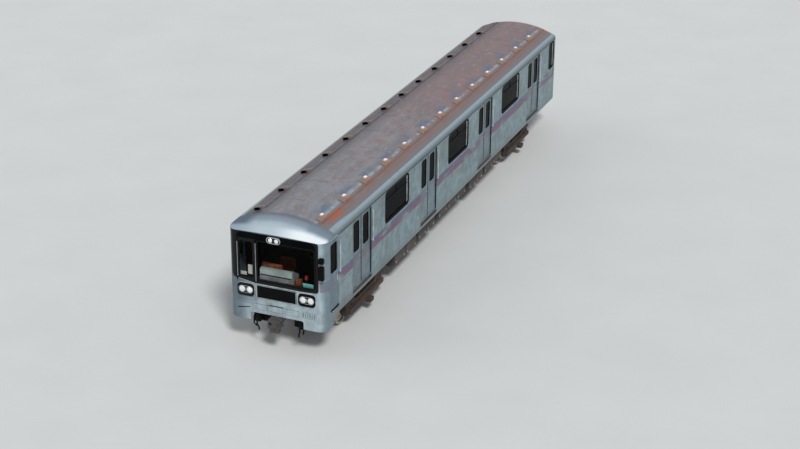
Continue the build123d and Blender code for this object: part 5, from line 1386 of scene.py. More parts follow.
# Doors
@dataclass
class PassengerDoors:
    """Trim of the sixteen sliding leaves."""

    centres: tuple[float, ...] = (7.08, 2.36, -2.36, -7.08)
    leaf_y: tuple[float, float] = (1.282, 1.314)
    width: float = 0.63
    bottom: float = 1.206 + LIFT
    top: float = 3.105 + LIFT
    window_x: tuple[float, float] = (0.1375, 0.4675)
    window_z: tuple[float, float] = up(2.20, 2.99)

    def leaf(self, side: int, name: str, centre: float, turn: int) -> None:
        """Pane, gasket, meeting rubber, kick plate and pull of one leaf."""
        shape = Shape(Coats.RUBBER, Coats.GLASS, Coats.ALLOY, Coats.LEAF)
        wall = side_plane(side, self.leaf_y[1])

        def span(a: float, b: float) -> list[float]:
            """X range of the leaf, mirrored for the rear leaf."""
            return sorted((centre + turn * a, centre + turn * b))

        loop = round_rect(span(*self.window_x), self.window_z, 0.06, 6)
        shape.use(Coats.RUBBER).ring(wall, loop, [(0.022, -0.001), (0.019, 0.002), (0.0, 0.002),
                                                  (-0.006, -0.004), (-0.006, -0.030), (0.0, -0.030),
                                                  (0.0, -0.001)])
        shape.use(Coats.GLASS).plate(wall, [(u - nu * 0.004, v - nv * 0.004, nu, nv) for u, v, nu,
                                            nv in loop], (-0.018, -0.012), 0.001)
        shape.use(Coats.RUBBER).slab(wall, span(0.0008, 0.020), (self.bottom + 0.004, self.top - 0.03),
                                     (-0.030, 0.002), 0.003)
        shape.use(Coats.LEAF).slab(wall, span(0.05, self.width - 0.06),
                                   (self.bottom + 0.02, self.bottom + 0.16), (-0.0005, 0.0015), 0.0005)
        shape.use(Coats.ALLOY).slab(wall, span(0.045, 0.085), up(1.95, 2.12), (-0.0005, 0.002), 0.001,
                                    0.012)
        shape.use(Coats.RUBBER).slab(wall, span(0.055, 0.075), up(1.97, 2.10), (0.0005, 0.0025), 0.001,
                                     0.008)
        for z in (1.55, 1.72):
            shape.use(Coats.LEAF).slab(wall, span(0.06, self.width - 0.08), (z + LIFT, z + 0.03 + LIFT),
                                       (-0.001, 0.002), 0.001)
        shape.piece(name + "_trim", name)

    def build(self, recipes: Recipes) -> None:
        """Dress every leaf."""
        for side_name, side in SIDES.items():
            for number, centre in enumerate(self.centres, start=1):
                for place, turn in ENDS.items():
                    self.leaf(side, f"door_{side_name}_{number}_{place}", centre, turn)


@dataclass
class HingedDoors:
    """Panes, gaskets and handles of the five hinged doors."""

    def hung(self, name: str, plane: Plane3, u: Sequence[float], v: Sequence[float], depth: float,
             handle: tuple[float, float], coat: Coats) -> None:
        """Dress one hinged door.

        Args:
            name: body of the door.
            plane: its outer face.
            u: window range across.
            v: window range in height.
            depth: thickness of the leaf.
            handle: place of the handle.
            coat: a finish slot on the piece that no form uses.
        """
        shape = Shape(Coats.RUBBER, Coats.GLASS, Coats.CHROME, coat)
        loop = round_rect(u, v, 0.045, 6)
        shape.use(Coats.RUBBER).ring(plane, loop, [(0.016, -0.001), (0.013, 0.003), (0.0, 0.003),
                                                   (-0.007, -0.004), (-0.007, -depth + 0.002),
                                                   (0.0, -depth + 0.002), (0.0, -0.001)])
        shape.use(Coats.GLASS).plate(plane, [(a - na * 0.005, b - nb * 0.005, na, nb) for a, b, na,
                                             nb in loop], (-depth / 2 - 0.003, -depth / 2 + 0.003), 0.001)
        hu, hv = handle
        for face, way in ((0.0, 1), (-depth, -1)):
            side = Plane3(tuple(plane.at(0, 0, face)), plane.u, plane.v, tuple(Vector(plane.n) * way))
            if name == "emergency_door" and way > 0:
                continue
            shape.use(Coats.CHROME).slab(side, (hu - 0.018, hu + 0.018), (hv - 0.08, hv + 0.08),
                                         (-0.0005, 0.0035), 0.001, 0.012)
            if way < 0 or name not in ("cab_door_left", "cab_door_right"):
                shape.tube([side.at(hu, hv + 0.02, 0.003), side.at(hu, hv + 0.02, 0.022)], 0.006)
                lever = hu - 0.07 if abs(hu - 0.07 - (u[0] + u[1]) / 2) < abs(hu + 0.07 - (u[0] + u[1])
                                                                              / 2) else hu + 0.07
                shape.tube([side.at(hu, hv + 0.02, 0.018), side.at(lever, hv + 0.02, 0.018)], 0.006)
        shape.piece(name + "_trim", name)

    def build(self, recipes: Recipes) -> None:
        """Dress the five doors."""
        for side_name, side in SIDES.items():
            self.hung(f"cab_door_{side_name}", side_plane(side, 1.343), (8.673, 9.021), up(2.24, 3.0),
                      0.036, (8.63, 2.02), Coats.CABDOOR)
        self.hung("bulkhead_door", end_plane(1, 7.788), (-0.18, 0.18), up(2.256, 2.956), 0.036,
                  (0.24, 2.12), Coats.BULKHEAD)
        self.hung("rear_door", end_plane(-1, 9.378), (-0.20, 0.20), up(2.156, 2.956), 0.036,
                  (-0.27, 2.12), Coats.REAR)
        self.hung("emergency_door", end_plane(1, 9.385), (-1.03, -0.65), up(1.93, 2.90), 0.040,
                  (-0.61, 2.2), Coats.MASK)
        card = Shape(Coats.BLANK)
        inner = end_plane(1, 9.350)
        card.slab(inner, (-0.80, -0.66), up(2.0, 2.26), (-0.003, 0.0), 0.001)
        card.slab(inner, (-1.01, -0.84), up(1.955, 2.05), (-0.003, 0.0), 0.001)
        card.piece("blank_cards", "emergency_door")


# Inside
def cushion_rows(along: Sequence[float], section: Sequence[tuple[float, float]], side: int,
                 channels: Sequence[float], end_radius: float = 0.04) -> list[list[Vector]]:
    """Rows of a crowned pad that runs along X.

    Args:
        along: X range.
        section: closed outline of Y and Z, for the left side.
        side: 1 or -1, to mirror the outline.
        channels: X places of the sewn channels.
        end_radius: how far the ends round off.

    Returns:
        Loops of points.
    """
    centre_y = sum(p[0] for p in section) / len(section)
    centre_z = sum(p[1] for p in section) / len(section)
    marks = {along[0], along[1], (along[0] + along[1]) / 2}
    for end, way in ((along[0], 1), (along[1], -1)):
        marks |= {end + way * end_radius * s for s in (0.08, 0.25, 0.5, 0.75, 1.0, 2.0)}
    for c in channels:
        marks |= {c + o for o in (-0.06, -0.02, -0.008, 0.0, 0.008, 0.02, 0.06)}
    rows = []
    for x in sorted(m for m in marks if along[0] <= m <= along[1]):
        reach = min(x - along[0], along[1] - x, end_radius) / end_radius
        scale = 0.78 + 0.22 * math.sqrt(max(0.0, 1 - (1 - reach) ** 2))
        near = min((abs(x - c) for c in channels), default=1.0)
        scale *= 1 - 0.10 * math.exp(-((near / 0.012) ** 2)) - 0.02 * math.exp(-((near / 0.06) ** 2))
        rows.append([Vector((x, side * (centre_y + (y - centre_y) * scale),
                             centre_z + (z - centre_z) * scale)) for y, z in section])
    return rows


def padded_section(y: Sequence[float], z: Sequence[float], crown: float,
                   lean: float = 0.0) -> list[tuple[float, float]]:
    """Outline of a pad with a domed top, rounded sides and a slight pull at the seams."""
    loop = []
    for i in range(28):
        a = 2 * math.pi * i / 28
        cu, su = math.cos(a), math.sin(a)
        u = math.copysign(abs(cu) ** 0.45, cu)
        w = math.copysign(abs(su) ** 0.55, su)
        bulge = crown * (1 - u * u) * max(0.0, w)
        height = (z[0] + z[1]) / 2 + (z[1] - z[0]) / 2 * w + bulge
        loop.append(((y[0] + y[1]) / 2 + (y[1] - y[0]) / 2 * u + lean * (height - z[0]), height))
    return loop


@dataclass
class Saloon:
    """Benches with padded seats, ceiling lamps and end posts."""

    inner_y: float = 1.25
    floor_z: float = 1.2 + LIFT
    benches: tuple[tuple[float, float], ...] = ((3.145, 6.295), (-1.575, 1.575), (-6.295, -3.145),
                                                (-9.34, -7.865))
    seat: float = 0.44
    depth: float = 0.45
    back: float = 0.93
    pad_pitch: float = 0.525
    ceiling_z: float = 3.29 + LIFT

    def build(self, recipes: Recipes) -> None:
        """Bench bases, seat and back pads, and lamps."""
        base = Shape(Coats.LINING, Coats.PANEL, Coats.ALLOY)
        front = self.inner_y - self.depth
        seat_z = self.floor_z + self.seat
        for side_name, side in SIDES.items():
            for number, (low, high) in enumerate(self.benches, start=1):
                wall = side_plane(side, 0.0)
                base.use(Coats.PANEL).slab(wall, (low + 0.01, high - 0.01),
                                           (self.floor_z + 0.002, seat_z - 0.115),
                                           (front + 0.065, front + 0.085), 0.004)
                base.use(Coats.LINING).slab(wall, (low, high), (seat_z - 0.115, seat_z - 0.085),
                                            (front + 0.02, self.inner_y - 0.002), 0.004)
                for x in (low, high):
                    base.slab(wall, sorted((x, x + (0.02 if x == low else -0.02))),
                              (self.floor_z + 0.002, seat_z - 0.09), (front + 0.06, self.inner_y - 0.002),
                              0.004, 0.02)
                base.use(Coats.ALLOY).slab(wall, (low + 0.01, high - 0.01),
                                           (self.floor_z + self.back - 0.02,
                                            self.floor_z + self.back - 0.004),
                                           (self.inner_y - 0.055, self.inner_y - 0.002), 0.003)
                count = max(2, round((high - low) / self.pad_pitch))
                cuts = [low + (high - low) * i / count for i in range(1, count)]
                pad = Shape(Coats.SEAT)
                seat_outline = padded_section((front + 0.004, self.inner_y - 0.115),
                                              (seat_z - 0.083, seat_z - 0.012), 0.022)
                pad.skin(cushion_rows((low + 0.012, high - 0.012), seat_outline, side, cuts))
                back_outline = [(self.inner_y - 0.092 + (z - seat_z) * 0.05 - d, z) for z,
                                d in back_section((seat_z - 0.03, self.floor_z + self.back - 0.03), 0.018)]
                pad.skin(cushion_rows((low + 0.012, high - 0.012), back_outline, side, cuts))
                nodes = ["benches"] if (side_name, number) == ("left", 1) else []
                made = pad.piece(f"bench_pads_{side_name}_{number}", CARBODY, nodes, 70)
        base.piece("bench_frames", CARBODY)
        lamps = Shape(Coats.BLANK, Coats.ALLOY)
        for i in range(12):
            x = 6.9 - i * 1.37
            lamps.use(Coats.ALLOY).slab(flat_plane(self.ceiling_z, -1), (x - 0.30, x + 0.30),
                                        (-0.075, 0.075), (-0.001, 0.012), 0.003, 0.02)
            lamps.use(Coats.BLANK).slab(flat_plane(self.ceiling_z, -1), (x - 0.285, x + 0.285),
                                        (-0.06, 0.06), (0.010, 0.04), 0.012, 0.02)
        lamps.piece("ceiling_lamps", CARBODY)


def back_section(z: Sequence[float], crown: float) -> list[tuple[float, float]]:
    """Outline of a back pad as height and stand-off from its back face."""
    loop = []
    for i in range(24):
        a = 2 * math.pi * i / 24
        cu, su = math.cos(a), math.sin(a)
        u = math.copysign(abs(cu) ** 0.45, cu)
        w = math.copysign(abs(su) ** 0.6, su)
        loop.append(((z[0] + z[1]) / 2 + (z[1] - z[0]) / 2 * u,
                     0.015 * w + crown * (1 - u * u) * max(0.0, w)))
    return loop


@dataclass
class Cab:
    """Driver's desk, shelf, seat and loose cab fittings."""

    back_x: float = 9.335
    floor_z: float = 1.2 + LIFT
    desk_y: tuple[float, float] = (-0.48, 0.42)
    shelf_y: float = 1.0
    seat: tuple[float, float] = (8.56, -0.20)

    def desk(self) -> None:
        """Hooded desk with a dark joint, gauge faces, buttons and a lever."""
        shape = Shape(Coats.DESK, Coats.PANEL, Coats.RUBBER, Coats.CHROME, Coats.BEZEL, Coats.RED,
                      Coats.BLANK, Coats.WOOD)
        f, b = self.floor_z, self.back_x
        outline = [(b - 0.002, f), (b - 0.002, f + 0.985), (b - 0.012, f + 0.998), (b - 0.09, f + 1.022),
                   (b - 0.12, f + 1.003), (b - 0.213, f + 0.953), (b - 0.383, f + 0.85),
                   (b - 0.401, f + 0.775), (b - 0.395, f + 0.760), (b - 0.215, f + 0.70), (b - 0.215, f)]
        y0, y1 = self.desk_y[0] + 0.002, self.desk_y[1] - 0.002
        shape.use(Coats.DESK).skin([[Vector((x, y, z)) for x, z in outline]
                                    for y in (y0, (y0 + y1) / 2, y1)])
        for y in (y0, y1 - 0.012):
            shape.use(Coats.PANEL).slab(Plane3((0, y, 0), (1, 0, 0), (0, 0, 1), (0, 1, 0)),
                                        (b - 0.30, b - 0.01), (f + 0.02, f + 0.68),
                                        (-0.003 if y == y0 else 0.012, 0.001 if y == y0 else 0.016), 0.001)
        front = end_plane(1, b - 0.002)
        shape.use(Coats.RUBBER).slab(front, (y0 + 0.01, y1 - 0.01), (f + 0.828, f + 0.858), (-0.002, 0.003),
                                     0.001)
        shape.use(Coats.PANEL).slab(front, (y0 + 0.01, y1 - 0.01), (f + 0.30, f + 0.826), (-0.002, 0.002),
                                    0.001)
        shape.use(Coats.WOOD).block((b - 0.205, b - 0.125), (y0 + 0.004, 0.07), (f + 0.955, f + 1.10),
                                    0.008)
        top = Plane3((b - 0.383, 0, f + 0.85), (0, 1, 0),
                     Vector((-0.018, 0, -0.075)).normalized().to_tuple(),
                     Vector((-0.973, 0, 0.23)).normalized().to_tuple())
        slope = Plane3((b - 0.213, 0, f + 0.953), (0, 1, 0),
                       Vector((-0.170, 0, -0.103)).normalized().to_tuple(),
                       Vector((-0.103, 0, 0.170)).normalized().to_tuple())
        shape.use(Coats.BEZEL).slab(slope, (y0 + 0.05, y1 - 0.30), (0.03, 0.18), (-0.004, 0.006), 0.002,
                                    0.01)
        for i in range(5):
            y = y0 + 0.12 + i * 0.105
            centre = slope.at(y, 0.10, 0.006)
            shape.use(Coats.CHROME).turned(tuple(centre), Vector(slope.n), [(0.034, -0.002), (0.034, 0.006),
                                                                          (0.028, 0.008), (0.0, 0.007)], 20)
            shape.use(Coats.BLANK).turned(tuple(centre), Vector(slope.n),
                                          [(0.026, 0.006), (0.026, 0.009), (0.0, 0.009)], 20)
        for i in range(4):
            y = y1 - 0.25 + i * 0.06
            shape.use(Coats.RED if i == 1 else Coats.BEZEL).turned(tuple(slope.at(y, 0.06, 0.0)),
                                                                   Vector(slope.n),
                                                                   [(0.016, -0.002), (0.016, 0.008),
                                                                    (0.010, 0.014), (0.0, 0.015)], 12)
        lever = slope.at(y1 - 0.12, 0.13, 0.0)
        shape.use(Coats.CHROME).tube([lever, lever + Vector((-0.01, 0, 0.05)),
                                      lever + Vector((-0.10, 0.0, 0.075))], 0.009)
        shape.use(Coats.BEZEL).turned(tuple(lever + Vector((-0.10, 0, 0.075))), Vector((-1, 0, 0.1)),
                                      [(0.012, 0.0), (0.018, 0.012), (0.018, 0.05), (0.0, 0.06)], 12)
        shape.use(Coats.RUBBER).slab(top, (y0 + 0.02, y1 - 0.02), (0.005, 0.075), (-0.004, 0.003), 0.002)
        shape.piece("driver_desk", CARBODY, ["cab_fittings"])

    def shelf(self) -> None:
        """Side shelf with a teal sheet, a red extinguisher and a brown cupboard."""
        shape = Shape(Coats.DESK, Coats.WOOD, Coats.RED, Coats.TEAL, Coats.RUBBER, Coats.CHROME)
        f, b = self.floor_z, self.back_x
        shape.use(Coats.DESK).block((b - 0.155, b - 0.001), (self.desk_y[1] + 0.003, self.shelf_y),
                                    (f, f + 0.66), 0.008)
        shape.use(Coats.WOOD).block((b - 0.152, b - 0.004), (self.desk_y[1] + 0.006, self.shelf_y - 0.004),
                                    (f + 0.66, f + 0.675), 0.004)
        sheet = Plane3((b - 0.045, 0, f + 0.678), (0, 1, 0),
                       Vector((0.03, 0, 0.09)).normalized().to_tuple(),
                       Vector((0.09, 0, -0.03)).normalized().to_tuple())
        shape.use(Coats.TEAL).slab(sheet, (0.71, 0.998), (0.0, 0.14), (0.0, 0.006), 0.002, 0.006)
        shape.use(Coats.WOOD).block((b - 0.135, b - 0.045), (0.49, 0.65), (f + 0.672, f + 0.86), 0.006)
        shape.use(Coats.RUBBER).turned((b - 0.09, 0.775, f + 0.67), UPRIGHT,
                                       [(0.0, 0.0), (0.03, 0.002), (0.03, 0.19), (0.024, 0.20)], 16)
        shape.use(Coats.RED).turned((b - 0.09, 0.775, f + 0.87), UPRIGHT,
                                    [(0.024, -0.002), (0.044, 0.01), (0.044, 0.09), (0.02, 0.115),
                                     (0.0, 0.12)], 16)
        shape.use(Coats.WOOD).block((8.10, 8.42), (1.02, 1.235), (f + 0.02, f + 0.86), 0.01)
        shape.use(Coats.RED).turned((8.58, 1.16, f + 0.45), UPRIGHT,
                                    [(0.0, 0.0), (0.07, 0.006), (0.075, 0.02), (0.075, 0.36), (0.05, 0.42),
                                     (0.02, 0.44), (0.0, 0.441)], 20)
        shape.use(Coats.RUBBER).tube([(8.58, 1.16, f + 0.88), (8.58, 1.16, f + 0.93),
                                      (8.66, 1.13, f + 0.95)], 0.013)
        shape.use(Coats.CHROME).block((8.50, 8.66), (1.232, 1.249), (f + 0.50, f + 0.75), 0.004)
        shape.block((8.55, 8.61), (1.08, 1.24), (f + 0.425, f + 0.449), 0.004)
        shape.piece("cab_cupboards", CARBODY)

    def chair(self) -> None:
        """Driver's seat: pedestal, pan, cushion and back."""
        x, y = self.seat
        f = self.floor_z
        frame_shape = Shape(Coats.UNDER, Coats.CHROME)
        frame_shape.use(Coats.UNDER).turned((x, y, f), UPRIGHT,
                                            [(0.0, 0.001), (0.06, 0.001), (0.06, 0.02), (0.045, 0.03),
                                             (0.045, 0.36), (0.06, 0.39), (0.0, 0.395)], 20)
        frame_shape.block((x - 0.21, x + 0.21), (y - 0.21, y + 0.21), (f + 0.39, f + 0.415), 0.006)
        for sy in (-0.15, 0.15):
            frame_shape.use(Coats.CHROME).tube([(x - 0.15, y + sy, f + 0.40), (x - 0.235, y + sy, f + 0.45),
                                                (x - 0.262, y + sy, f + 0.85)], 0.010)
        frame_shape.piece("driver_seat_frame", CARBODY)
        pad = Shape(Coats.SEAT)
        seat_outline = padded_section((-0.225, 0.225), (f + 0.412, f + 0.468), 0.012)
        pad.skin([[Vector((r.x, r.y + y, r.z)) for r in row]
                  for row in cushion_rows((x - 0.225, x + 0.225), seat_outline, 1, (x,))])
        rows = []
        for row in cushion_rows((y - 0.215, y + 0.215), [(d, z) for z,
                                                         d in back_section((f + 0.49, f + 0.915), 0.012)],
                                1, (y,)):
            rows.append([Vector((x - 0.232 + p.y - (p.z - f - 0.49) * 0.10, p.x, p.z)) for p in row])
        pad.skin(rows)
        pad.piece("driver_seat_pads", CARBODY, (), 70)

    def build(self, recipes: Recipes) -> None:
        """Make the cab's pieces."""
        self.desk()
        self.shelf()
        self.chair()


# Running gear
@dataclass
class Bogie:
    """Details of one bogie: springs, axleboxes, dampers, wheelsets and bolts."""

    end: str
    centre: float = 6.3
    half_base: float = 1.05
    beam_y: float = 1.01
    axle_z: float = 0.39 + LIFT
    tread: float = 0.39
    flange: float = 0.418
    back_y: float = 0.72
    spring_z: tuple[float, float] = up(0.56, 0.80)
    spring_x: float = 0.085

    def x(self, offset: float) -> float:
        """Place along the car of a point on the bogie."""
        return ENDS[self.end] * self.centre + offset

    def body(self) -> str:
        """The CAD body's name."""
        return f"bogie_{self.end}"

    def springs(self, recipes: Recipes) -> None:
        """Nests of two coils under the bolster."""
        places = [(self.x(dx), sy * self.beam_y, self.spring_z[0] + 0.016)
                  for dx in (-self.spring_x, self.spring_x) for sy in (-1, 1)]
        tall = self.spring_z[1] - self.spring_z[0] - 0.032
        recipes.coils.make(f"springs_outer_{self.end}", places, Coats.SPRING, self.body(), "bogie_steel",
                           Turns=4.5, Radius=0.062, Height=tall, Wire=0.0145)
        recipes.coils.make(f"springs_inner_{self.end}", places, Coats.SPRING, self.body(), "bogie_steel",
                           Turns=6.0, Radius=0.034, Height=tall, Wire=0.009)

    def axleboxes(self) -> None:
        """Boxes with round covers, rubber blocks, spring cups and dampers."""
        shape = Shape(Coats.BOGIE, Coats.RUBBER, Coats.CASES)
        z = self.axle_z
        for sy in (-1, 1):
            for dx in (-self.half_base, self.half_base):
                x = self.x(dx)
                wall = side_plane(sy, 0.0)
                loop = round_rect((x - 0.12, x + 0.12), (z - 0.12, z + 0.12), 0.035, 4)
                shape.use(Coats.BOGIE).plate(wall, loop, (0.895, 1.083), 0.012)
                shape.turned((x, sy * 1.082, z), Vector((0, sy, 0)),
                             [(0.105, 0.0), (0.105, 0.008), (0.078, 0.012), (0.0, 0.012)], 28)
                for k, dz in enumerate((0.119, 0.126, 0.133, 0.140)):
                    grow = 0.006 if k % 2 else 0.0
                    shape.use(Coats.RUBBER).block((x - 0.080 - grow, x + 0.080 + grow),
                                                  sorted((sy * 0.955, sy * 1.065)),
                                                  (z + dz, z + dz + 0.009), 0.002)
            for dx in (-self.spring_x, self.spring_x):
                for zz, way in ((self.spring_z[0], 1), (self.spring_z[1], -1)):
                    shape.use(Coats.BOGIE).turned((self.x(dx), sy * self.beam_y, zz), Vector((0, 0, way)),
                                                  [(0.077, 0.0), (0.077, 0.012), (0.05, 0.018),
                                                   (0.0, 0.018)], 24)
            for dx in (-0.26, 0.26):
                top = (self.x(dx * 0.72), sy * 1.086, 0.84 + LIFT)
                low = (self.x(dx * 1.55), sy * 1.086, 0.60 + LIFT)
                way = Vector(low) - Vector(top)
                shape.use(Coats.CASES).turned(top, way, [(0.0, 0.0), (0.018, 0.004), (0.018, 0.12),
                                                         (0.011, 0.125), (0.011, way.length - 0.01),
                                                         (0.016, way.length), (0.0, way.length)], 12)
        shape.piece(f"axleboxes_{self.end}", self.body(), [f"bogie_suspension_{self.end}"])

    def wheelsets(self) -> None:
        """Axle and wheels with a turned tread, dished disc and hub."""
        f, r = self.flange, self.tread
        b = self.back_y
        side = [(0.065, 1.074), (0.0652, 0.872), (0.105, 0.862), (0.112, 0.855), (0.128, 0.845),
                (0.138, 0.83), (0.20, 0.795), (0.27, 0.785), (0.305, 0.80), (0.318, 0.835), (0.325, 0.848),
                (0.380, 0.848), (0.3845, 0.844), (0.386, 0.84), (0.388, 0.80), (r, 0.757), (0.394, 0.749),
                (0.408, 0.742), (0.4165, 0.735), (f, 0.730), (0.4165, 0.7235), (0.410, b + 0.001),
                (0.335, b + 0.001), (0.318, b + 0.012), (0.30, 0.752), (0.21, 0.765), (0.14, 0.752),
                (0.132, b + 0.008), (0.128, b), (0.09, b - 0.004), (0.08, b - 0.012), (0.079, 0.49)]
        profile = [(0.0, 1.0745)] + side + [(0.078, 0.20), (0.078, 0.0)]
        full = profile + [(a, -y) for a, y in reversed(profile[:-1])]
        for number, offset in ((1, self.half_base), (2, -self.half_base)):
            shape = Shape(Coats.WHEEL)
            shape.turned((self.x(offset), 0, self.axle_z), Vector((0, 1, 0)), full, 64)
            name = f"wheelset_{self.end}_{number}"
            shape.piece(f"wheels_{self.end}_{number}", name, [name], 35)

    def fittings(self, recipes: Recipes) -> None:
        """Bolts, brake cylinders with their brackets, and pipes."""
        bolts = []
        for sy in (-1, 1):
            for dx in (-self.half_base, self.half_base):
                for k in range(8):
                    a = math.pi * k / 4 + 0.3
                    bolts.append((self.x(dx) + 0.09 * math.cos(a), sy * 1.093,
                                  self.axle_z + 0.09 * math.sin(a)))
            for dx in (-0.62, -0.50, -0.38, -0.26, 0.26, 0.38, 0.50, 0.62):
                bolts.append((self.x(dx), sy * 1.078, 0.475 + LIFT))
        recipes.bolts.make(f"bogie_bolts_{self.end}", bolts, Coats.SPRING, self.body(), "bogie_steel",
                           Radius=0.012, Height=0.014, Turn=(math.pi / 2, 0, 0))
        shape = Shape(Coats.CASES, Coats.BOGIE)
        for sx in (-1, 1):
            for sy in (-1, 1):
                shape.use(Coats.CASES).turned((self.x(sx * 0.40), sy * 0.86, 0.64 + LIFT),
                                              Vector((sx, 0, 0)),
                                              [(0.0, 0.0), (0.07, 0.004), (0.075, 0.02), (0.075, 0.16),
                                               (0.05, 0.18), (0.02, 0.182), (0.02, 0.24), (0.0, 0.242)], 20)
                shape.use(Coats.BOGIE).block(sorted((self.x(sx * 0.42), self.x(sx * 0.52))),
                                             sorted((sy * 0.90, sy * 0.955)), up(0.60, 0.68), 0.006)
                shape.block(sorted((self.x(sx * 0.42), self.x(sx * 0.46))), sorted((sy * 0.78, sy * 0.95)),
                            up(0.555, 0.60), 0.005)
        shape.piece(f"brake_cylinders_{self.end}", self.body())
        points: list[Point] = []
        edges = []
        for sy in (-1, 1):
            run = [(-1.16, 0.70), (-0.82, 0.70), (-0.60, 0.585), (0.60, 0.585), (0.82, 0.70), (1.16, 0.70)]
            for k, (dx, z) in enumerate(run):
                if k:
                    edges.append((len(points) - 1, len(points)))
                points.append((self.x(dx), sy * 0.98, z + LIFT + 0.008))
        recipes.sweep.make(f"bogie_pipes_{self.end}", points, Coats.CASES, self.body(), "bogie_steel",
                           edges, Radius=0.013, Sides=8)

    def build(self, recipes: Recipes) -> None:
        """Make the bogie's pieces."""
        self.springs(recipes)
        self.axleboxes()
        self.wheelsets()
        self.fittings(recipes)


@dataclass
class Underfloor:
    """Lids, latches, louvres and pipes on the equipment between the bogies."""

    half_space: float = 4.5
    outer_y: float = 1.18
    top_z: float = 1.02 + LIFT
    left: tuple[tuple[float, float, float], ...] = ((0.64, 1.0, 0.53), (0.32, 0.61, 0.48),
                                                    (-0.26, 0.26, 0.44), (-0.60, -0.32, 0.52),
                                                    (-0.99, -0.63, 0.48))
    right: tuple[tuple[float, float, float], ...] = ((0.62, 0.98, 0.48), (0.04, 0.26, 0.53),
                                                     (-0.26, -0.02, 0.46), (-0.61, -0.32, 0.53),
                                                     (-1.0, -0.66, 0.48))

    def build(self, recipes: Recipes) -> None:
        """Dress each case, then run the pipes."""
        shape = Shape(Coats.CASES, Coats.ALLOY, Coats.UNDER)
        slats = []
        bolts = []
        for side, table in ((1, self.left), (-1, self.right)):
            wall = side_plane(side, self.outer_y)
            for number, (start, stop, depth) in enumerate(table):
                x0, x1 = start * self.half_space, stop * self.half_space
                z0, z1 = 1.0 + LIFT - depth, self.top_z
                count = max(1, round((x1 - x0) / 0.7))
                for k in range(count):
                    a = x0 + (x1 - x0) * k / count + 0.02
                    b = x0 + (x1 - x0) * (k + 1) / count - 0.02
                    shape.use(Coats.CASES).slab(wall, (a, b), (z0 + 0.05, z1 - 0.03), (-0.001, 0.016),
                                                0.005, 0.03, 4)
                    for lx in (a + 0.10, b - 0.10):
                        shape.use(Coats.ALLOY).slab(wall, (lx - 0.015, lx + 0.015), (z0 + 0.06, z0 + 0.13),
                                                    (0.014, 0.026), 0.003)
                        shape.use(Coats.UNDER).slab(wall, (lx - 0.04, lx + 0.04), (z1 - 0.055, z1 - 0.035),
                                                    (0.012, 0.024), 0.004)
                    bolts += [(x, side * (self.outer_y + 0.017), z) for x in (a + 0.03, b - 0.03)
                              for z in (z0 + 0.08, z1 - 0.07)]
                    if number % 2 == 1:
                        slats.append(((a + b) / 2, side * (self.outer_y + 0.017), z0 + 0.16))
        shape.piece("equipment_lids", CARBODY)
        recipes.slats.make("equipment_louvres", slats, Coats.CASES, CARBODY, "under_steel",
                           Size=(0.42, 0.006, 0.022), Count=7, Step=(0, 0, 0.032))
        recipes.bolts.make("equipment_bolts", bolts, Coats.SPRING, CARBODY, "under_steel", Radius=0.009,
                           Height=0.01, Turn=(math.pi / 2, 0, 0))
        points: list[Point] = []
        edges = []
        for y, z, low, high in ((1.215, 1.06, -4.7, 4.7), (-1.215, 1.06, -4.7, 4.7),
                                (0.42, 1.03, -5.0, 5.0), (-0.42, 1.03, -5.0, 5.0), (0.34, 1.05, -5.0, 5.0)):
            edges.append((len(points), len(points) + 1))
            points += [(low, y, z + LIFT), (high, y, z + LIFT)]
        recipes.sweep.make("floor_pipes", points, Coats.UNDER, CARBODY, "under_steel", edges, Radius=0.019,
                           Sides=8)


@dataclass
class CouplerTrim:
    """Cast details of one coupler."""

    end: str
    reach: float = 9.605
    z: float = 0.825 + LIFT

    def build(self, recipes: Recipes) -> None:
        """Face plate strips, a turned cap on top, lock lever, contact box lid, two bars below and bolts."""
        way = ENDS[self.end]
        shape = Shape(Coats.CAST, Coats.CASES, Coats.CHROME)
        face = end_plane(way, self.reach)
        for y in (-0.155, 0.155):
            shape.use(Coats.CAST).slab(face, (y - 0.012, y + 0.012), (self.z - 0.08, self.z + 0.08),
                                       (-0.03, -0.002), 0.004)
        shape.use(Coats.CAST).turned((way * (self.reach - 0.085), 0, self.z + 0.124), UPRIGHT,
                                     [(0.05, 0.0), (0.05, 0.012), (0.03, 0.016), (0.03, 0.024),
                                      (0.0, 0.025)], 20)
        shape.tube([(way * (self.reach - 0.085), 0.0, self.z + 0.142),
                    (way * (self.reach - 0.085), 0.12, self.z + 0.145),
                    (way * (self.reach - 0.075), 0.19, self.z + 0.10)], 0.012)
        shape.use(Coats.CASES).block(sorted((way * (self.reach - 0.178), way * (self.reach - 0.022))),
                                     (-0.125, 0.125), (self.z - 0.245, self.z - 0.228), 0.004)
        for y in (-0.10, 0.10):
            shape.tube([(way * (self.reach - 0.24), y, self.z - 0.06),
                        (way * (self.reach - 0.42), y * 0.75, self.z - 0.075),
                        (way * (self.reach - 0.62), y * 0.62, self.z - 0.058)], 0.013)
        shape.piece(f"coupler_details_{self.end}", f"coupler_{self.end}")
        ring = [(way * (self.reach - 0.003 + 0.0005), y, self.z + dz) for y in (-0.125, 0.125)
                for dz in (-0.10, 0.10)]
        recipes.bolts.make(f"coupler_bolts_{self.end}", ring, Coats.SPRING, f"coupler_{self.end}",
                           "cast_steel", Radius=0.013, Height=0.004, Turn=(0, math.pi / 2, 0))


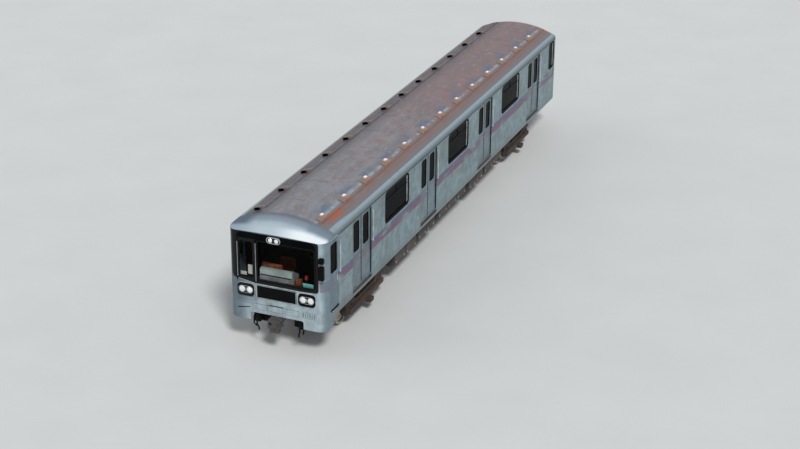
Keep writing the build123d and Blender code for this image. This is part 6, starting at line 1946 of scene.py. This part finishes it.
@dataclass
class RearEnd:
    """Rear wall: handrails, tail lamps, steps and door surround."""

    x: float = -9.385

    def build(self, recipes: Recipes) -> None:
        """Make the rear wall's fittings."""
        shape = Shape(Coats.REAR, Coats.HAND, Coats.TAIL, Coats.BEZEL, Coats.RUBBER)
        wall = end_plane(-1, -self.x)
        loop = round_rect((-0.35, 0.35), up(1.215, 3.10), 0.02, 3)
        shape.use(Coats.REAR).ring(wall, loop, [(0.0, -0.001), (0.0, 0.006), (0.03, 0.006), (0.03, -0.001)])
        for y in (-0.62, 0.62, -1.2, 1.2):
            points = [(self.x + 0.003, y, 1.55 + LIFT), (self.x - 0.04, y, 1.58 + LIFT),
                      (self.x - 0.04, y, 2.35 + LIFT), (self.x + 0.003, y, 2.38 + LIFT)]
            shape.use(Coats.HAND).tube(points, 0.011)
        for y in (-1.0, 1.0):
            shape.use(Coats.BEZEL).turned((self.x + 0.001, y, 1.42 + LIFT), Vector((-1, 0, 0)),
                                          [(0.0, 0.0), (0.07, 0.0), (0.07, 0.03), (0.058, 0.034),
                                           (0.0, 0.03)], 24)
            shape.use(Coats.TAIL).turned((self.x - 0.028, y, 1.42 + LIFT), Vector((-1, 0, 0)),
                                         [(0.056, 0.0), (0.056, 0.006), (0.03, 0.014), (0.0, 0.016)], 24)
        for y in (-0.45, 0.45):
            shape.use(Coats.BEZEL).block((self.x - 0.09, self.x + 0.001), (y - 0.13, y + 0.13),
                                         up(1.08, 1.10))
        shape.use(Coats.RUBBER).block((self.x - 0.12, self.x + 0.001), (-0.33, 0.33), up(1.16, 1.185))
        for y in (-0.88, 0.88):
            shape.use(Coats.BEZEL).block((self.x - 0.05, self.x + 0.001), (y - 0.11, y + 0.11),
                                         up(2.75, 2.95))
        shape.piece("rear_fittings", CARBODY)
        bolts = [(self.x - 0.006, y, 1.3 + LIFT + 0.2 * k) for y in (-0.365, 0.365) for k in range(9)]
        recipes.bolts.make("rear_bolts", bolts, Coats.REAR, CARBODY, "body_paint", Radius=0.008,
                           Height=0.008, Turn=(0, math.pi / 2, 0))


# CAD nodes, studio
@dataclass
class NodeCoats:
    """Finish of every CAD node that stays in view."""

    table: dict[str, Coats] = field(default_factory=lambda: {"floor": Coats.FLOOR,
                                                             "underframe_beams": Coats.UNDER,
                                                             "body_rails": Coats.SIDE,
                                                             "side_panels_left": Coats.SIDE,
                                                             "side_panels_right": Coats.SIDE,
                                                             "roof_crown": Coats.ROOF,
                                                             "roof_coves": Coats.ROOF,
                                                             "ceiling": Coats.LINING,
                                                             "front_wall": Coats.FRONT,
                                                             "front_mask": Coats.MASK,
                                                             "front_apron": Coats.FRONT,
                                                             "front_fittings": Coats.BEZEL,
                                                             "glass_panes": Coats.GLASS,
                                                             "rear_wall": Coats.REAR,
                                                             "cab_bulkhead": Coats.BULKHEAD,
                                                             "grab_rails": Coats.CHROME,
                                                             "side_fittings": Coats.HAND,
                                                             "underfloor_equipment": Coats.CASES,
                                                             "cab_door_left": Coats.CABDOOR,
                                                             "cab_door_right": Coats.CABDOOR,
                                                             "bulkhead_door": Coats.BULKHEAD,
                                                             "rear_door": Coats.REAR,
                                                             "emergency_door": Coats.DOOR})
    prefixes: dict[str, Coats] = field(default_factory=lambda: {
        "bogie_": Coats.BOGIE, "wheelset_": Coats.WHEEL, "coupler_": Coats.CAST, "door_": Coats.LEAF})

    def coat(self, name: str) -> Coats:
        """Finish of a node by its name or its first word."""
        if name in self.table:
            return self.table[name]
        return next((coat for start, coat in self.prefixes.items() if name.startswith(start)), Coats.LINING)

    def dress(self) -> None:
        """Give every CAD node its material."""
        for name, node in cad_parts.items():
            material = self.coat(name).material()
            node.data.materials.clear()
            node.data.materials.append(material)
            log.info("%s is finished in %s", name, material.name)


@dataclass
class Studio:
    """Floor, lights and the photograph's camera."""

    place: Point = (43.2754, 17.1141, 20.02)
    yaw: float = 22.1275
    pitch: float = 23.5154
    roll: float = 0.4857
    focal: float = 1672.87
    frame_width: float = 800.0
    floor_size: float = 400.0

    def camera(self) -> None:
        """Camera solved from the photograph."""
        yaw, pitch, roll = (math.radians(a) for a in (self.yaw, self.pitch, self.roll))
        ahead = Vector((-math.cos(pitch) * math.cos(yaw), -math.cos(pitch) * math.sin(yaw),
                        -math.sin(pitch)))
        level = Vector((-math.sin(yaw), math.cos(yaw), 0))
        above = level.cross(ahead)
        right = level * math.cos(roll) + above * math.sin(roll)
        up = above * math.cos(roll) - level * math.sin(roll)
        data = bpy.data.cameras.new("camera")
        data.sensor_width = 36.0
        data.lens = self.focal / self.frame_width * data.sensor_width
        data.clip_start, data.clip_end = 1.0, 500.0
        made = bpy.data.objects.new("camera", data)
        bpy.context.scene.collection.objects.link(made)
        turn = Matrix((right, up, -ahead)).transposed()
        made.matrix_world = Matrix.Translation(self.place) @ turn.to_4x4()
        bpy.context.scene.camera = made

    def floor(self) -> None:
        """Pale floor that keeps the car's shadow."""
        data = bpy.data.meshes.new("studio_floor")
        half = self.floor_size / 2
        data.from_pydata([(-half, -half, 0), (half, -half, 0), (half, half, 0), (-half, half, 0)], [],
                         [(0, 1, 2, 3)])
        made = bpy.data.objects.new("studio_floor", data)
        bpy.context.scene.collection.objects.link(made)
        material = bpy.data.materials.new("studio_floor")
        material.use_nodes = True
        g = Graph(material.node_tree)
        tint = g.mix(g.noise(0.4, 4), rgb((196, 196, 194)), rgb((206, 206, 204)))
        shader = g.add("ShaderNodeBsdfPrincipled", None, {"Base Color": tint, "Roughness": 0.9})
        g.add("ShaderNodeOutputMaterial", None, {"Surface": shader})
        data.materials.append(material)

    def lights(self) -> None:
        """Soft key from the car's left, weak fill, pale surroundings."""
        for name, strength, angle, turn in (("key", 2.6, 12, (44, 0, 128)), ("fill", 0.5, 60, (58, 0, 20))):
            data = bpy.data.lights.new(name, "SUN")
            data.energy = strength
            data.angle = math.radians(angle)
            made = bpy.data.objects.new(name, data)
            made.rotation_euler = [math.radians(a) for a in turn]
            bpy.context.scene.collection.objects.link(made)
        world = bpy.data.worlds.new("surroundings")
        bpy.context.scene.world = world
        world.use_nodes = True
        g = Graph(world.node_tree)
        path = g.add("ShaderNodeLightPath", out="Is Camera Ray")
        seen = g.math("MAXIMUM", path, path.other("Is Glossy Ray"))
        seen = g.math("MAXIMUM", seen, path.other("Is Transmission Ray"))
        dull = g.add("ShaderNodeBackground", None, {"Color": rgb((214, 222, 230)), "Strength": 0.55})
        pale = g.add("ShaderNodeBackground", None, {"Color": rgb((222, 224, 226)), "Strength": 0.9})
        both = g.add("ShaderNodeMixShader", None, {0: seen, 1: dull, 2: pale})
        g.add("ShaderNodeOutputWorld", None, {"Surface": both})

    def build(self) -> None:
        """Make the stage round the car."""
        bpy.context.scene.view_settings.view_transform = "Standard"
        self.camera()
        self.floor()
        self.lights()


def main() -> None:
    """Dress the car and set the stage."""
    logging.basicConfig(level=logging.INFO, format="%(name)s: %(message)s")
    NodeCoats().dress()
    recipes = Recipes()
    assemblies = [SideWalls(), Roof(), CabFront(), PassengerDoors(), HingedDoors(), Saloon(), Cab(),
                  Underfloor(), RearEnd(), *(Bogie(end) for end in ENDS),
                  *(CouplerTrim(end) for end in ENDS)]
    for assembly in assemblies:
        log.info("building %s", type(assembly).__name__)
        assembly.build(recipes)
    Studio().build()


if __name__ == "__main__":
    main()
